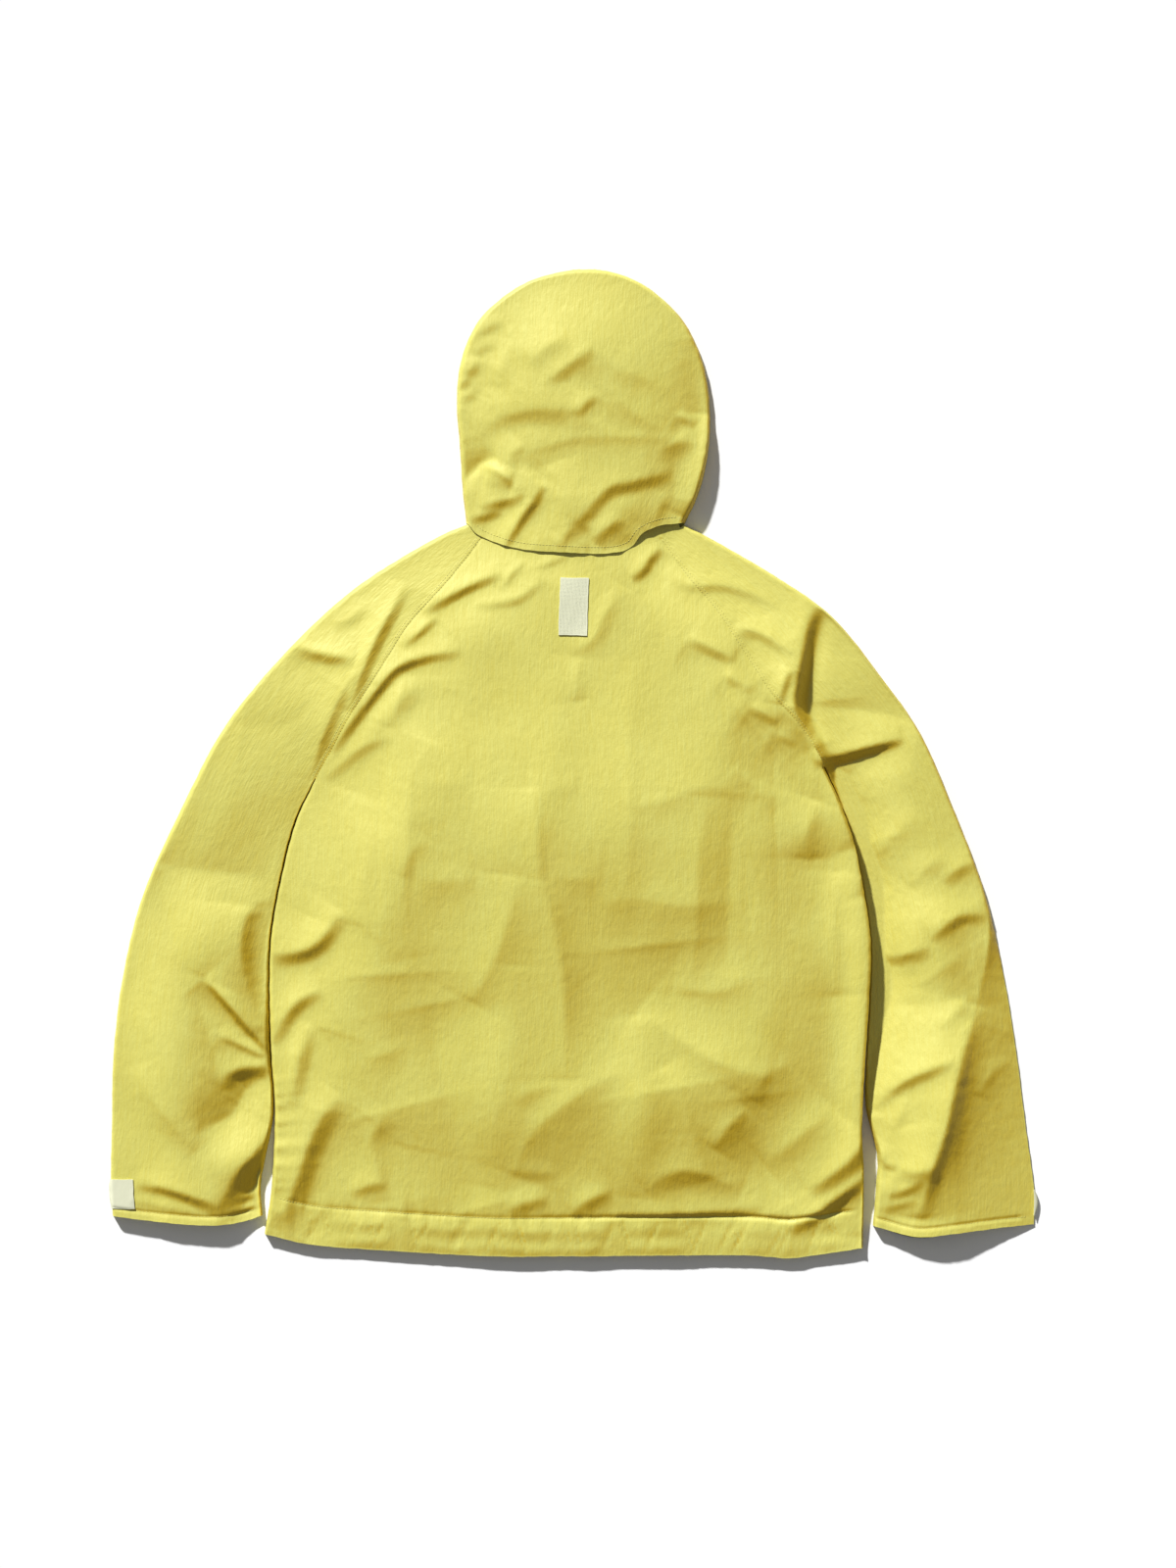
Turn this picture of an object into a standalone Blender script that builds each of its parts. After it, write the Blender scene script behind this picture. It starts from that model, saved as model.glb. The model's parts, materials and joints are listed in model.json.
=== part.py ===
"""A hooded raglan parka laid flat on its front, back up, as cut and sewn cloth walls.

The tables are in millimetres and the model is in metres, +Z up.  X runs from the wearer's left
sleeve to the right one, Y from the hem to the hood, and the origin is on the surface that the
parka lies on, under its middle.  Every upper panel takes its height from one function of X and
Y, so that neighbours meet along their seam.
"""
from collections import namedtuple

import bmesh
import bpy
import numpy as np
from mathutils import Vector
from mathutils.bvhtree import BVHTree

MM = 0.001

# Cloth and seams
WALL = 1.8                    # shell and lining together
SEAM_GAP = 0.3                # between two cut pieces
RIM_HEIGHT = WALL + SEAM_GAP  # an upper panel's folded edge comes down to its lower panel
EDGE_ROLL = 12.0              # how far in the tight part of a folded edge reaches
EDGE_RISE = 10.0              # how high that part climbs
CROWN_REACH = 85.0            # from there the cloth climbs gently to its crown
LOWEST_TOP = 7.0              # no fold presses the upper cloth below this

# Front closure, which faces the floor
FLAP_WIDTH = 58.0
FLAP_WALL = 1.6
FLAP_END = 4.0                # how far the flap stops short of the neck and the hem

# Hood and neck
HOOD_OVERLAP = 2.6            # the hood's lower edge lies this much above the neck seam
BAND_SPAN = (0.12, 0.93)       # share of the seam from its middle to the right that it takes
BAND_SLANT = (-4.0, 20.0)     # from the seam to the band's upper edge
Lip = namedtuple("Lip", "x y lift wide deep")
HOOD_DROOP = Lip(88, 234, 10.0, 52, 30)

# Hook tape and trim
TAPE_WALL = 1.2
TAPE_GAP = 0.4
PATCH_SIZE = (28.0, 57.0)
PATCH_CENTRE = (0.9, 155.0)
PATCH_TILT = 0.035
TAB_BULGE = 1.4
LINING_WALL = 1.0
LINING_SHOWS = 2.4            # how far the right cuff's lining peeks out

# Rows down a panel and columns across it
RAGLAN_ROWS = 9
BODY_ROWS = 12
SLEEVE_ROWS = 9
HEM_FRACTIONS = (0.915, 0.93, 0.985, 1.0)
TAB_FRACTIONS = (0.926, 0.984, 1.0)
ROLL_COLUMNS = (0.0, 1.2, 5.0, 12.0, 22.0, 36.0)
PLAIN_EDGE = (0.0,)
FLAP_COLUMNS = (0.0, 31.0, 46.0)
HOOD_DROPS = (1.0, 5.0, 12.0, 22.0, 36.0)    # rows below the hood's crown

# Edges of the pieces, each a smooth curve through (x, y)
HOOD_OUTLINE = [(-105, 239), (-109, 270), (-112, 316), (-115, 360), (-111, 399), (-97, 434),
                (-77, 457), (-39, 481), (15, 491), (62, 480), (101, 450), (123, 415),
                (134, 374), (136, 331), (132, 296), (123, 264), (111, 239)]
HOOD_CROWN = 8                # the top point of that outline
NECK_SEAM = [(-105, 237), (-90, 224), (-54, 213), (-9, 209), (34, 208), (64, 214), (87, 222),
             (111, 236)]
HOOD_LIP = [(-105, 239), (-90, 225), (-54, 213), (-9, 209), (34, 208), (57, 214), (69, 228),
            (87, 236), (111, 239)]
NECK_FRONT = [(-105, 237), (-85, 208), (-48, 177), (3, 165), (55, 177), (93, 207), (111, 236)]
FACE_LEFT = [(13, 491), (12, 440), (-10, 398), (-29, 348), (-33, 292), (-22, 228), (1, 166)]
FACE_RIGHT = [(17, 491), (18, 440), (40, 398), (60, 348), (64, 292), (50, 228), (5, 166)]
OUTER_LEFT = [(-105, 237), (-137, 223), (-202, 184), (-250, 145), (-306, 87), (-351, 28),
              (-391, -50), (-426, -128), (-446, -206), (-456, -284), (-458, -362),
              (-459, -415), (-457, -449)]
OUTER_RIGHT = [(111, 236), (137, 223), (204, 184), (258, 145), (305, 87), (346, 28), (380, -50),
               (409, -128), (427, -206), (440, -284), (450, -362), (458, -422), (458, -458)]
BICEPS = 5                    # the point of those two that is level with the underarm
RAGLAN_LEFT = [(-90, 224), (-107, 201), (-130, 173), (-161, 139), (-182, 106), (-203, 73),
               (-223, 42), (-241, 9), (-256, -17)]
RAGLAN_RIGHT = [(87, 222), (114, 184), (142, 151), (170, 108), (195, 70), (220, 42), (238, 17),
                (250, -5)]
RAGLAN_FRONT_LEFT = [(-85, 208), (-112, 165), (-144, 121), (-180, 77), (-217, 33), (-256, -17)]
RAGLAN_FRONT_RIGHT = [(93, 207), (118, 169), (150, 126), (185, 83), (218, 38), (250, -5)]
SIDE_LEFT = [(-256, -17), (-276, -61), (-293, -131), (-301, -192), (-300, -283), (-296, -345),
             (-299, -419), (-306, -467)]
SIDE_RIGHT = [(250, -5), (267, -43), (280, -83), (293, -152), (296, -193), (293, -249),
              (289, -312), (287, -364), (289, -409), (288, -481)]
INNER_LEFT = [(-256, -17), (-279, -61), (-296, -131), (-304, -192), (-303, -283), (-299, -345),
              (-307, -391), (-311, -420), (-309, -449)]
INNER_RIGHT = [(250, -5), (269, -38), (283, -74), (296, -120), (302, -167), (307, -227),
               (304, -259), (297, -289), (293, -342), (303, -389), (302, -420), (299, -459)]
CUFF_LEFT = [(-457, -449), (-406, -455), (-360, -458), (-329, -455), (-309, -449)]
CUFF_RIGHT = [(299, -459), (340, -469), (378, -466), (422, -461), (458, -458)]
HEM = [(-306, -467), (-256, -478), (-176, -484), (-82, -489), (-6, -489), (15, -489),
       (163, -488), (211, -491), (241, -488), (288, -481)]
HEM_MIDDLE = 4                # the centre front, as a point of HEM
CENTRE_FRONT = [(3, 165), (-6, -489)]

# How high the cloth stands off the surface, away from its folded edges
Crown = namedtuple("Crown", "x y height reach")
CROWNS = [
    Crown(10, 385, 40, 110),
    Crown(15, 275, 34, 70),
    Crown(0, 150, 24, 90),
    Crown(0, -20, 31, 170),
    Crown(0, -260, 30, 170),
    Crown(0, -480, 18, 90),
    Crown(-190, 130, 29, 80),
    Crown(-330, -60, 29, 90),
    Crown(-380, -250, 28, 90),
    Crown(-385, -440, 23, 80),
    Crown(190, 130, 30, 80),
    Crown(325, -60, 30, 90),
    Crown(365, -250, 28, 90),
    Crown(375, -450, 23, 80),
]

# The largest folds.  A fold's trough runs through its three points, with its ridge on the left
# of that way; without a trough the ridge itself runs there.
Fold = namedtuple("Fold", "start middle end width ridge trough")
FOLDS = [
    # neck seam, between hood and back
    Fold((-118, 232), (-9, 203), (122, 232), 17, 0, 9),
    # back
    Fold((-214, 44), (-184, 86), (-142, 104), 13, 6, 7),
    Fold((-142, 151), (-112, 166), (-84, 178), 12, 4, 5),
    Fold((-164, -52), (-168, -22), (-154, 6), 14, 3, 3),
    Fold((124, 184), (140, 178), (158, 170), 12, 3, 4),
    Fold((122, 118), (148, 108), (174, 98), 12, 3, 4),
    Fold((132, -124), (138, -70), (144, -16), 18, 0, 4),
    Fold((-292, -206), (-262, -196), (-226, -170), 16, 5, 6),
    Fold((-290, -276), (-272, -248), (-250, -226), 15, 6, 7),
    Fold((-276, -378), (-246, -356), (-226, -326), 15, 6, 6),
    Fold((-284, -432), (-258, -412), (-258, -376), 13, 6, 6),
    Fold((252, -406), (276, -392), (292, -372), 14, 6, 6),
    Fold((226, -448), (262, -436), (292, -412), 14, 6, 6),
    Fold((-28, -310), (-13, -170), (-30, -76), 16, 2, 3),
    # left sleeve
    Fold((-202, 108), (-184, 142), (-168, 176), 15, 9, 9),
    Fold((-276, 112), (-246, 106), (-214, 100), 14, 5, 6),
    Fold((-322, -140), (-316, -182), (-322, -222), 22, 0, 10),
    Fold((-412, -132), (-394, -196), (-356, -232), 18, 3, 4),
    Fold((-358, -222), (-328, -246), (-304, -286), 14, 4, 8),
    Fold((-438, -284), (-408, -350), (-378, -380), 18, 3, 4),
    # right sleeve
    Fold((230, 36), (234, 92), (242, 152), 15, 6, 13),
    Fold((162, 134), (190, 120), (220, 104), 13, 3, 4),
    Fold((250, -6), (288, 2), (316, 26), 14, 7, 8),
    Fold((300, -196), (330, -190), (360, -182), 15, 4, 4),
    Fold((354, -440), (376, -372), (394, -284), 17, 4, 7),
    Fold((326, -396), (350, -388), (372, -376), 13, 3, 4),
    # hood
    Fold((-34, 386), (-20, 400), (-4, 412), 13, 5, 5),
    Fold((-88, 330), (-30, 354), (10, 334), 14, 4, 6),
    Fold((-12, 238), (32, 276), (96, 288), 16, 0, 8),
    Fold((-4, 222), (48, 250), (106, 262), 16, 6, 0),
    Fold((-56, 226), (-46, 244), (-36, 264), 13, 4, 8),
    Fold((-106, 278), (-80, 288), (-52, 282), 15, 5, 5),
]

CITRON = (0.70, 0.64, 0.16, 1.0)
OFF_WHITE = (0.74, 0.74, 0.56, 1.0)
NAVY = (0.02, 0.025, 0.05, 1.0)


def clear_scene():
    for item in list(bpy.data.objects):
        bpy.data.objects.remove(item, do_unlink=True)


def cloth_material(name, colour, roughness):
    material = bpy.data.materials.new(name)
    material.use_nodes = True
    shader = material.node_tree.nodes["Principled BSDF"]
    shader.inputs["Base Color"].default_value = colour
    shader.inputs["Roughness"].default_value = roughness
    shader.inputs["Metallic"].default_value = 0.0
    return material


# ---------------------------------------------------------------- lines and grids

def smooth_curve(points, first=0, last=None, steps=12):
    """A Catmull-Rom curve through the points, cut to the stretch from point first to last."""
    through = np.array(points, float)
    ends = np.vstack([2 * through[0] - through[1], through, 2 * through[-1] - through[-2]])
    t = np.linspace(0, 1, steps, endpoint=False)[:, None]
    pieces = []
    for a, b, c, d in zip(ends[:-3], ends[1:-2], ends[2:-1], ends[3:]):
        cubic = (2 * a - 5 * b + 4 * c - d) * t ** 2 + (3 * b - a - 3 * c + d) * t ** 3
        pieces.append(0.5 * (2 * b + (c - a) * t + cubic))
    line = np.vstack(pieces + [through[-1:]])
    if last is None:
        last = len(points) - 1
    if first > last:
        return line[last * steps:first * steps + 1][::-1]
    return line[first * steps:last * steps + 1]


def stations(line, fractions):
    """Points at the given fractions of a line's length."""
    run = np.concatenate([[0], np.cumsum(np.linalg.norm(np.diff(line, axis=0), axis=1))])
    at = np.asarray(fractions) * run[-1]
    return np.column_stack([np.interp(at, run, line[:, axis]) for axis in (0, 1)])


def at_levels(line, levels):
    """Points where a line that only runs down meets the given Y levels."""
    return np.column_stack([np.interp(-levels, -line[:, 1], line[:, 0]), levels])


def even(count):
    return np.linspace(0, 1, count + 1)


def joined(upper, upper_fractions, lower, lower_fractions):
    """The rows of an edge made of two lines, such as a raglan seam and a side seam."""
    top = stations(upper, upper_fractions)
    return np.vstack([top, stations(lower, lower_fractions)[1:]])


def spread(length, start, finish, between):
    """Fractions of a length, close together near its ends and even in the middle."""
    shrink = min(1.0, 0.42 * length / max(start[-1], finish[-1], 1.0))
    near = np.array(start) * shrink
    far = length - np.array(finish)[::-1] * shrink
    middle = np.linspace(near[-1], far[0], between + 1)
    return np.concatenate([near[:-1], middle, far[1:]]) / length


def patch_grid(left, right, top, bottom, start, finish, between):
    """Rows of points that fill the space between four edges, as a Coons patch."""
    middle = (left + right) / 2
    run = np.concatenate([[0], np.cumsum(np.linalg.norm(np.diff(middle, axis=0), axis=1))])
    rows = []
    for a, b, v in zip(left, right, run / run[-1]):
        u = spread(np.linalg.norm(b - a), start, finish, between)
        across = a + np.outer(u, b - a)
        high = stations(top, u) - (top[0] + np.outer(u, top[-1] - top[0]))
        low = stations(bottom, u) - (bottom[0] + np.outer(u, bottom[-1] - bottom[0]))
        rows.append(across + (1 - v) * high + v * low)
    return np.array(rows)


def square_inward(view):
    """Unit vectors that point into a grid, square to its first row."""
    along = np.gradient(view[0], axis=0)
    along /= np.linalg.norm(along, axis=1)[:, None]
    square = np.column_stack([-along[:, 1], along[:, 0]])
    return square * np.sign(np.sum(square * (view[1] - view[0])))


def trimmed(grid):
    """Draws the four edges of a grid in by half a seam gap."""
    grid = grid.copy()
    for turn in range(4):
        view = np.rot90(grid, turn)
        view[0] += square_inward(view) * SEAM_GAP / 2
    return grid


# ---------------------------------------------------------------- the cloth's height

def beside(line, x, y):
    """How far along a line each point lies (0 to 1), and how far to its left."""
    start = line[:-1]
    step = np.diff(line, axis=0)
    length = np.linalg.norm(step, axis=1)
    away_x = x[:, None] - start[:, 0]
    away_y = y[:, None] - start[:, 1]
    share = np.clip((away_x * step[:, 0] + away_y * step[:, 1]) / length ** 2, 0, 1)
    off_x = away_x - share * step[:, 0]
    off_y = away_y - share * step[:, 1]
    distance = np.hypot(off_x, off_y)
    nearest = np.argmin(distance, axis=1)
    row = np.arange(len(x))
    left = step[nearest, 0] * off_y[row, nearest] - step[nearest, 1] * off_x[row, nearest]
    run = np.concatenate([[0], np.cumsum(length)])
    along = (run[nearest] + share[row, nearest] * length[nearest]) / run[-1]
    return along, distance[row, nearest] * np.sign(left)


FOLDED_EDGES = [smooth_curve(points) for points in (
    HOOD_OUTLINE, OUTER_LEFT, OUTER_RIGHT, INNER_LEFT, INNER_RIGHT, SIDE_LEFT, SIDE_RIGHT)]


def edge_distance(x, y):
    return np.min([np.abs(beside(edge, x, y)[1]) for edge in FOLDED_EDGES], axis=0)


def bow(share):
    """A quarter circle: upright at 0, level at 1 and beyond."""
    return np.sqrt(1 - (1 - np.clip(share, 0, 1)) ** 2)


def swell(share):
    """A soft step from 0 at 0 to 1 at 1 and beyond."""
    share = np.clip(share, 0, 1)
    return np.sin(share * np.pi / 2) ** 1.5


def crown_height(x, y):
    weights = [np.exp(-((x - c.x) ** 2 + (y - c.y) ** 2) / c.reach ** 2) + 1e-9 for c in CROWNS]
    heights = [weight * c.height for weight, c in zip(weights, CROWNS)]
    return np.sum(heights, axis=0) / np.sum(weights, axis=0)


def fold_height(x, y):
    total = np.zeros_like(x)
    for fold in FOLDS:
        line = smooth_curve([fold.start, fold.middle, fold.end], steps=6)
        along, left = beside(line, x, y)
        fade = (4 * along * (1 - along)) ** 0.7
        beyond = 1.3 * fold.width if fold.trough else 0.0
        ridge = fold.ridge * np.exp(-((left - beyond) / fold.width) ** 2)
        trough = fold.trough * np.exp(-(left / (0.8 * fold.width)) ** 2)
        total += fade * (ridge - trough)
    return total


def top_height(x, y, distance=None):
    """Height of the upper cloth's outer face."""
    if distance is None:
        distance = edge_distance(x, y)
    edge = RIM_HEIGHT + EDGE_RISE * bow(distance / EDGE_ROLL)
    rise = (crown_height(x, y) - RIM_HEIGHT - EDGE_RISE) * swell(distance / CROWN_REACH)
    folds = fold_height(x, y) * np.clip(distance / EDGE_ROLL, 0, 1)
    plain = edge + rise
    floor = np.minimum(plain, LOWEST_TOP)
    return np.maximum(plain + folds, floor)


def hood_height(x, y, distance=None):
    """The hood lies over the neck seam, and its lower edge droops over the band on the right."""
    if distance is None:
        distance = edge_distance(x, y)
    wide = ((x - HOOD_DROOP.x) / HOOD_DROOP.wide) ** 2
    deep = ((y - HOOD_DROOP.y) / HOOD_DROOP.deep) ** 2
    lift = HOOD_OVERLAP + HOOD_DROOP.lift * np.exp(-wide - deep)
    return top_height(x, y, distance) + lift * np.clip(distance / EDGE_ROLL, 0, 1)


def floor_height(x, y, distance=None):
    """Lower panels lie flat, with their outer face on the floor."""
    return np.zeros_like(x)


def front_height(x, y, distance=None):
    """The two fronts lie on the flap."""
    start, end = np.array(CENTRE_FRONT, float)
    middle = start[0] + (y - start[1]) / (end[1] - start[1]) * (end[0] - start[0])
    past_flap = (np.abs(x - middle) - FLAP_COLUMNS[1]) / (FLAP_COLUMNS[2] - FLAP_COLUMNS[1])
    return (FLAP_WALL + SEAM_GAP) * (1 - np.clip(past_flap, 0, 1))


def surface(grid, height, facing, rolled):
    """Outer points and outward normals of a panel; rolled names its folded edges."""
    shape = grid.shape[:2]
    x = grid[..., 0].ravel()
    y = grid[..., 1].ravel()
    distance = edge_distance(x, y).reshape(shape)
    inward = np.zeros(shape + (2,))
    for turn, name in enumerate(("top", "right", "bottom", "left")):
        if name in rolled:
            np.rot90(distance, turn)[0] = 0
            np.rot90(inward, turn)[0] = square_inward(np.rot90(grid, turn))
    z = height(x, y, distance.ravel()).reshape(shape)
    nudge = np.minimum(0.6, 0.5 * edge_distance(x, y) + 1e-4)
    slope_x = (height(x + nudge, y) - height(x - nudge, y)) / (2 * nudge)
    slope_y = (height(x, y + nudge) - height(x, y - nudge)) / (2 * nudge)
    normals = np.column_stack([-slope_x, -slope_y, np.ones_like(x)]).reshape(shape + (3,)) * facing
    at_rim = np.any(inward != 0, axis=2)
    normals[at_rim] = np.column_stack([-inward[at_rim], np.zeros(at_rim.sum())])
    normals /= np.linalg.norm(normals, axis=2)[..., None]
    return np.dstack([grid, z]), normals


# ---------------------------------------------------------------- solids

def rim_faces(a, b, count, turned):
    """Two triangles of a wall's rim, with the same diagonal on opposite sides of the wall."""
    if turned:
        return [(a, b + count, b), (a, a + count, b + count)]
    return [(a, b, b + count), (a, b + count, a + count)]


def wall_object(name, outer, inner, material):
    """A closed wall between two matching grids of points in millimetres."""
    rows, columns = outer.shape[:2]
    count = rows * columns
    points = np.vstack([outer.reshape(-1, 3), inner.reshape(-1, 3)]) * MM
    faces = []
    for i in range(rows - 1):
        for j in range(columns - 1):
            a = i * columns + j
            b = a + columns
            faces += [(a, b, b + 1), (a, b + 1, a + 1)]
            faces += [(a + count, b + 1 + count, b + count), (a + count, a + 1 + count, b + 1 + count)]
    end = columns - 1
    low = (rows - 1) * columns
    for j in range(end):
        for a, turned in ((j, False), (j + low, True)):
            faces += rim_faces(a, a + 1, count, turned)
    for i in range(0, low, columns):
        for a, turned in ((i + end, False), (i, True)):
            faces += rim_faces(a, a + columns, count, turned)
    mesh = bpy.data.meshes.new(name)
    mesh.from_pydata(points.tolist(), [], faces)
    solid = bmesh.new()
    solid.from_mesh(mesh)
    if solid.calc_volume(signed=True) < 0:
        bmesh.ops.reverse_faces(solid, faces=solid.faces)
    solid.to_mesh(mesh)
    solid.free()
    mesh.shade_smooth()
    mesh.set_sharp_from_angle(angle=0.9)
    mesh.materials.append(material)
    item = bpy.data.objects.new(name, mesh)
    bpy.context.scene.collection.objects.link(item)
    return item


def panel(name, grid, height, facing, rolled, material, wall=WALL):
    outer, normals = surface(trimmed(grid), height, facing, rolled)
    wall_object(name, outer, outer - normals * wall, material)
    return outer, normals


def laid_on(name, base, normals, gap, wall, material):
    """A thin piece made from a panel's own points, moved out along their normals."""
    return wall_object(name, base + normals * (gap + wall), base + normals * gap, material)


def body_rows(raglan, side):
    fractions = np.concatenate([np.linspace(0, HEM_FRACTIONS[0] - 0.02, BODY_ROWS + 1), HEM_FRACTIONS])
    return joined(smooth_curve(raglan), even(RAGLAN_ROWS), smooth_curve(side), fractions)


def sleeve_rows(upper, lower):
    fractions = np.concatenate([np.linspace(0, TAB_FRACTIONS[0] - 0.07, SLEEVE_ROWS + 1), TAB_FRACTIONS])
    return joined(upper, even(RAGLAN_ROWS), lower, fractions)


def outer_rows(outline):
    upper = smooth_curve(outline, 0, BICEPS)
    return sleeve_rows(upper, smooth_curve(outline, BICEPS, len(outline) - 1))


def panel_below_underarm(name, grid, height, whole, below, material):
    """An upper panel with some edges folded all the way and others only below the underarm."""
    grid = trimmed(grid)
    outer, normals = surface(grid, height, 1, whole + below)
    upper, upper_normals = surface(grid, height, 1, whole)
    outer[:RAGLAN_ROWS] = upper[:RAGLAN_ROWS]
    normals[:RAGLAN_ROWS] = upper_normals[:RAGLAN_ROWS]
    normals[RAGLAN_ROWS] += upper_normals[RAGLAN_ROWS]
    normals[RAGLAN_ROWS] /= np.linalg.norm(normals[RAGLAN_ROWS], axis=1)[:, None]
    wall_object(name, outer, outer - normals * WALL, material)
    return outer, normals


def build_back(material):
    left = body_rows(RAGLAN_LEFT, SIDE_LEFT)
    right = body_rows(RAGLAN_RIGHT, SIDE_RIGHT)
    grid = patch_grid(left, right, smooth_curve(NECK_SEAM, 1, 6), smooth_curve(HEM),
                      ROLL_COLUMNS, ROLL_COLUMNS, 15)
    return panel_below_underarm("back", grid, top_height, (), ("left", "right"), material)


def build_fronts(material):
    centre = smooth_curve(CENTRE_FRONT)
    left = body_rows(RAGLAN_FRONT_LEFT, SIDE_LEFT)
    right = body_rows(RAGLAN_FRONT_RIGHT, SIDE_RIGHT)
    middle = stations(centre, even(len(left) - 1))
    grid = patch_grid(left, middle, smooth_curve(NECK_FRONT, 1, 3),
                      smooth_curve(HEM, 0, HEM_MIDDLE), PLAIN_EDGE, FLAP_COLUMNS, 4)
    panel("front_left", grid, front_height, -1, (), material)
    grid = patch_grid(middle, right, smooth_curve(NECK_FRONT, 3, 5),
                      smooth_curve(HEM, HEM_MIDDLE, len(HEM) - 1), FLAP_COLUMNS, PLAIN_EDGE, 4)
    panel("front_right", grid, front_height, -1, (), material)


def build_flap(material):
    (top_x, top_y), (low_x, low_y) = CENTRE_FRONT
    half = FLAP_WIDTH / 2
    corners = []
    for x, y in ((top_x, top_y - FLAP_END), (low_x, low_y + FLAP_END)):
        corners.append([(x - half, y, 0.0), (x, y, 0.0), (x + half, y, 0.0)])
    lower = np.array([np.array(corners[0]) * (1 - v) + np.array(corners[1]) * v for v in even(8)])
    wall_object("front_flap", lower, lower + (0, 0, FLAP_WALL), material)


def build_sleeve(side, outline, neck_ends, raglan, raglan_front, inner, cuff, material):
    """The back and front halves of one sleeve, which meet in its folded outer edge."""
    outer = outer_rows(outline)
    back_inner = sleeve_rows(smooth_curve(raglan), smooth_curve(inner))
    front_inner = sleeve_rows(smooth_curve(raglan_front), smooth_curve(inner))
    back_neck = smooth_curve(NECK_SEAM, *neck_ends[0])
    front_neck = smooth_curve(NECK_FRONT, *neck_ends[1])
    if side == "left":
        sides = (outer, back_inner), (outer, front_inner)
        whole, below = ("left",), ("right",)
    else:
        sides = (back_inner, outer), (front_inner, outer)
        whole, below = ("right",), ("left",)
    grid = patch_grid(*sides[0], back_neck, smooth_curve(cuff), ROLL_COLUMNS, ROLL_COLUMNS, 5)
    back = panel_below_underarm("sleeve_%s_back" % side, grid, top_height, whole, below, material)
    grid = patch_grid(*sides[1], front_neck, smooth_curve(cuff), PLAIN_EDGE, PLAIN_EDGE, 3)
    panel("sleeve_%s_front" % side, grid, floor_height, -1, (), material)
    return back


def hood_levels(low):
    """Y levels of the hood's rows, close together below the crown."""
    drops = np.linspace(HOOD_DROPS[-1], HOOD_OUTLINE[HOOD_CROWN][1] - low, 9)[1:]
    return HOOD_OUTLINE[HOOD_CROWN][1] - np.concatenate([HOOD_DROPS, drops])


def build_hood(material):
    """The hood's back over its two sides, which are folded under and leave the face open."""
    levels = hood_levels(HOOD_OUTLINE[0][1])
    left = at_levels(smooth_curve(HOOD_OUTLINE, HOOD_CROWN, 0), levels)
    right = at_levels(smooth_curve(HOOD_OUTLINE, HOOD_CROWN, len(HOOD_OUTLINE) - 1), levels)
    crown = smooth_curve(HOOD_OUTLINE)
    crown = crown[crown[:, 1] > levels[0]]
    arc = np.vstack([left[:1], crown, right[:1]])
    grid = patch_grid(left, right, arc, smooth_curve(HOOD_LIP), ROLL_COLUMNS, ROLL_COLUMNS, 7)
    panel("hood_back", grid, hood_height, 1, ("top", "left", "right"), material)

    face = at_levels(smooth_curve(FACE_LEFT), hood_levels(FACE_LEFT[-1][1]))
    arc = np.vstack([left[:1], crown[crown[:, 0] < face[0, 0]], face[:1]])
    grid = patch_grid(left, face, arc, smooth_curve(NECK_FRONT, 0, 3), PLAIN_EDGE, PLAIN_EDGE, 6)
    panel("hood_side_left", grid, floor_height, -1, (), material)

    face = at_levels(smooth_curve(FACE_RIGHT), hood_levels(FACE_RIGHT[-1][1]))
    arc = np.vstack([face[:1], crown[crown[:, 0] > face[0, 0]], right[:1]])
    grid = patch_grid(face, right, arc, smooth_curve(NECK_FRONT, 3, 6), PLAIN_EDGE, PLAIN_EDGE, 6)
    panel("hood_side_right", grid, floor_height, -1, (), material)


def build_neck_band(material):
    """The collar band that shows on the right, between the neck seam and the hood's edge."""
    seam = stations(smooth_curve(NECK_SEAM, 4, 7), np.linspace(*BAND_SPAN, 8))
    grid = np.array([seam + np.array(BAND_SLANT) * share for share in np.linspace(1, 0, 4)])
    panel("neck_band", grid, top_height, 1, (), material)


def build_patch(back, material):
    """Hook tape below the neck seam, its points dropped onto the back panel."""
    rows, columns = back.shape[:2]
    cells = []
    for i in range(rows - 1):
        for j in range(columns - 1):
            a = i * columns + j
            cells += [(a, a + columns, a + columns + 1), (a, a + columns + 1, a + 1)]
    tree = BVHTree.FromPolygons([Vector(p) for p in back.reshape(-1, 3)], cells)
    wide, high = PATCH_SIZE
    points = []
    for v in np.linspace(0.5, -0.5, 9):
        row = []
        for u in np.linspace(-0.5, 0.5, 5):
            x = PATCH_CENTRE[0] + u * wide + v * high * PATCH_TILT
            y = PATCH_CENTRE[1] + v * high - u * wide * PATCH_TILT
            row.append(tree.ray_cast(Vector((x, y, 200.0)), Vector((0, 0, -1)))[0])
        points.append(row)
    base = np.array(points, float)
    up = np.zeros_like(base)
    up[..., 2] = 1.0
    laid_on("back_patch", base, up, TAPE_GAP, TAPE_WALL, material)


def between_rows(block, count):
    """A block of two rows, split into more rows."""
    return np.array([block[0] * (1 - v) + block[1] * v for v in even(count)])


def build_left_tab(sleeve, material):
    """Hook tape over the folded edge of the left cuff, seen on its back."""
    outer, normals = sleeve
    last = len(outer) - 1
    base = between_rows(outer[last - 2:last][:, :5], 4)
    out = between_rows(normals[last - 2:last][:, :5], 4)
    bulge = np.sin(np.pi * even(4)) * TAB_BULGE
    top = base + out * (TAPE_GAP + TAPE_WALL)
    top[:, 0, 0] -= bulge
    wall_object("cuff_tab_left", top, base + out * TAPE_GAP, material)


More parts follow.
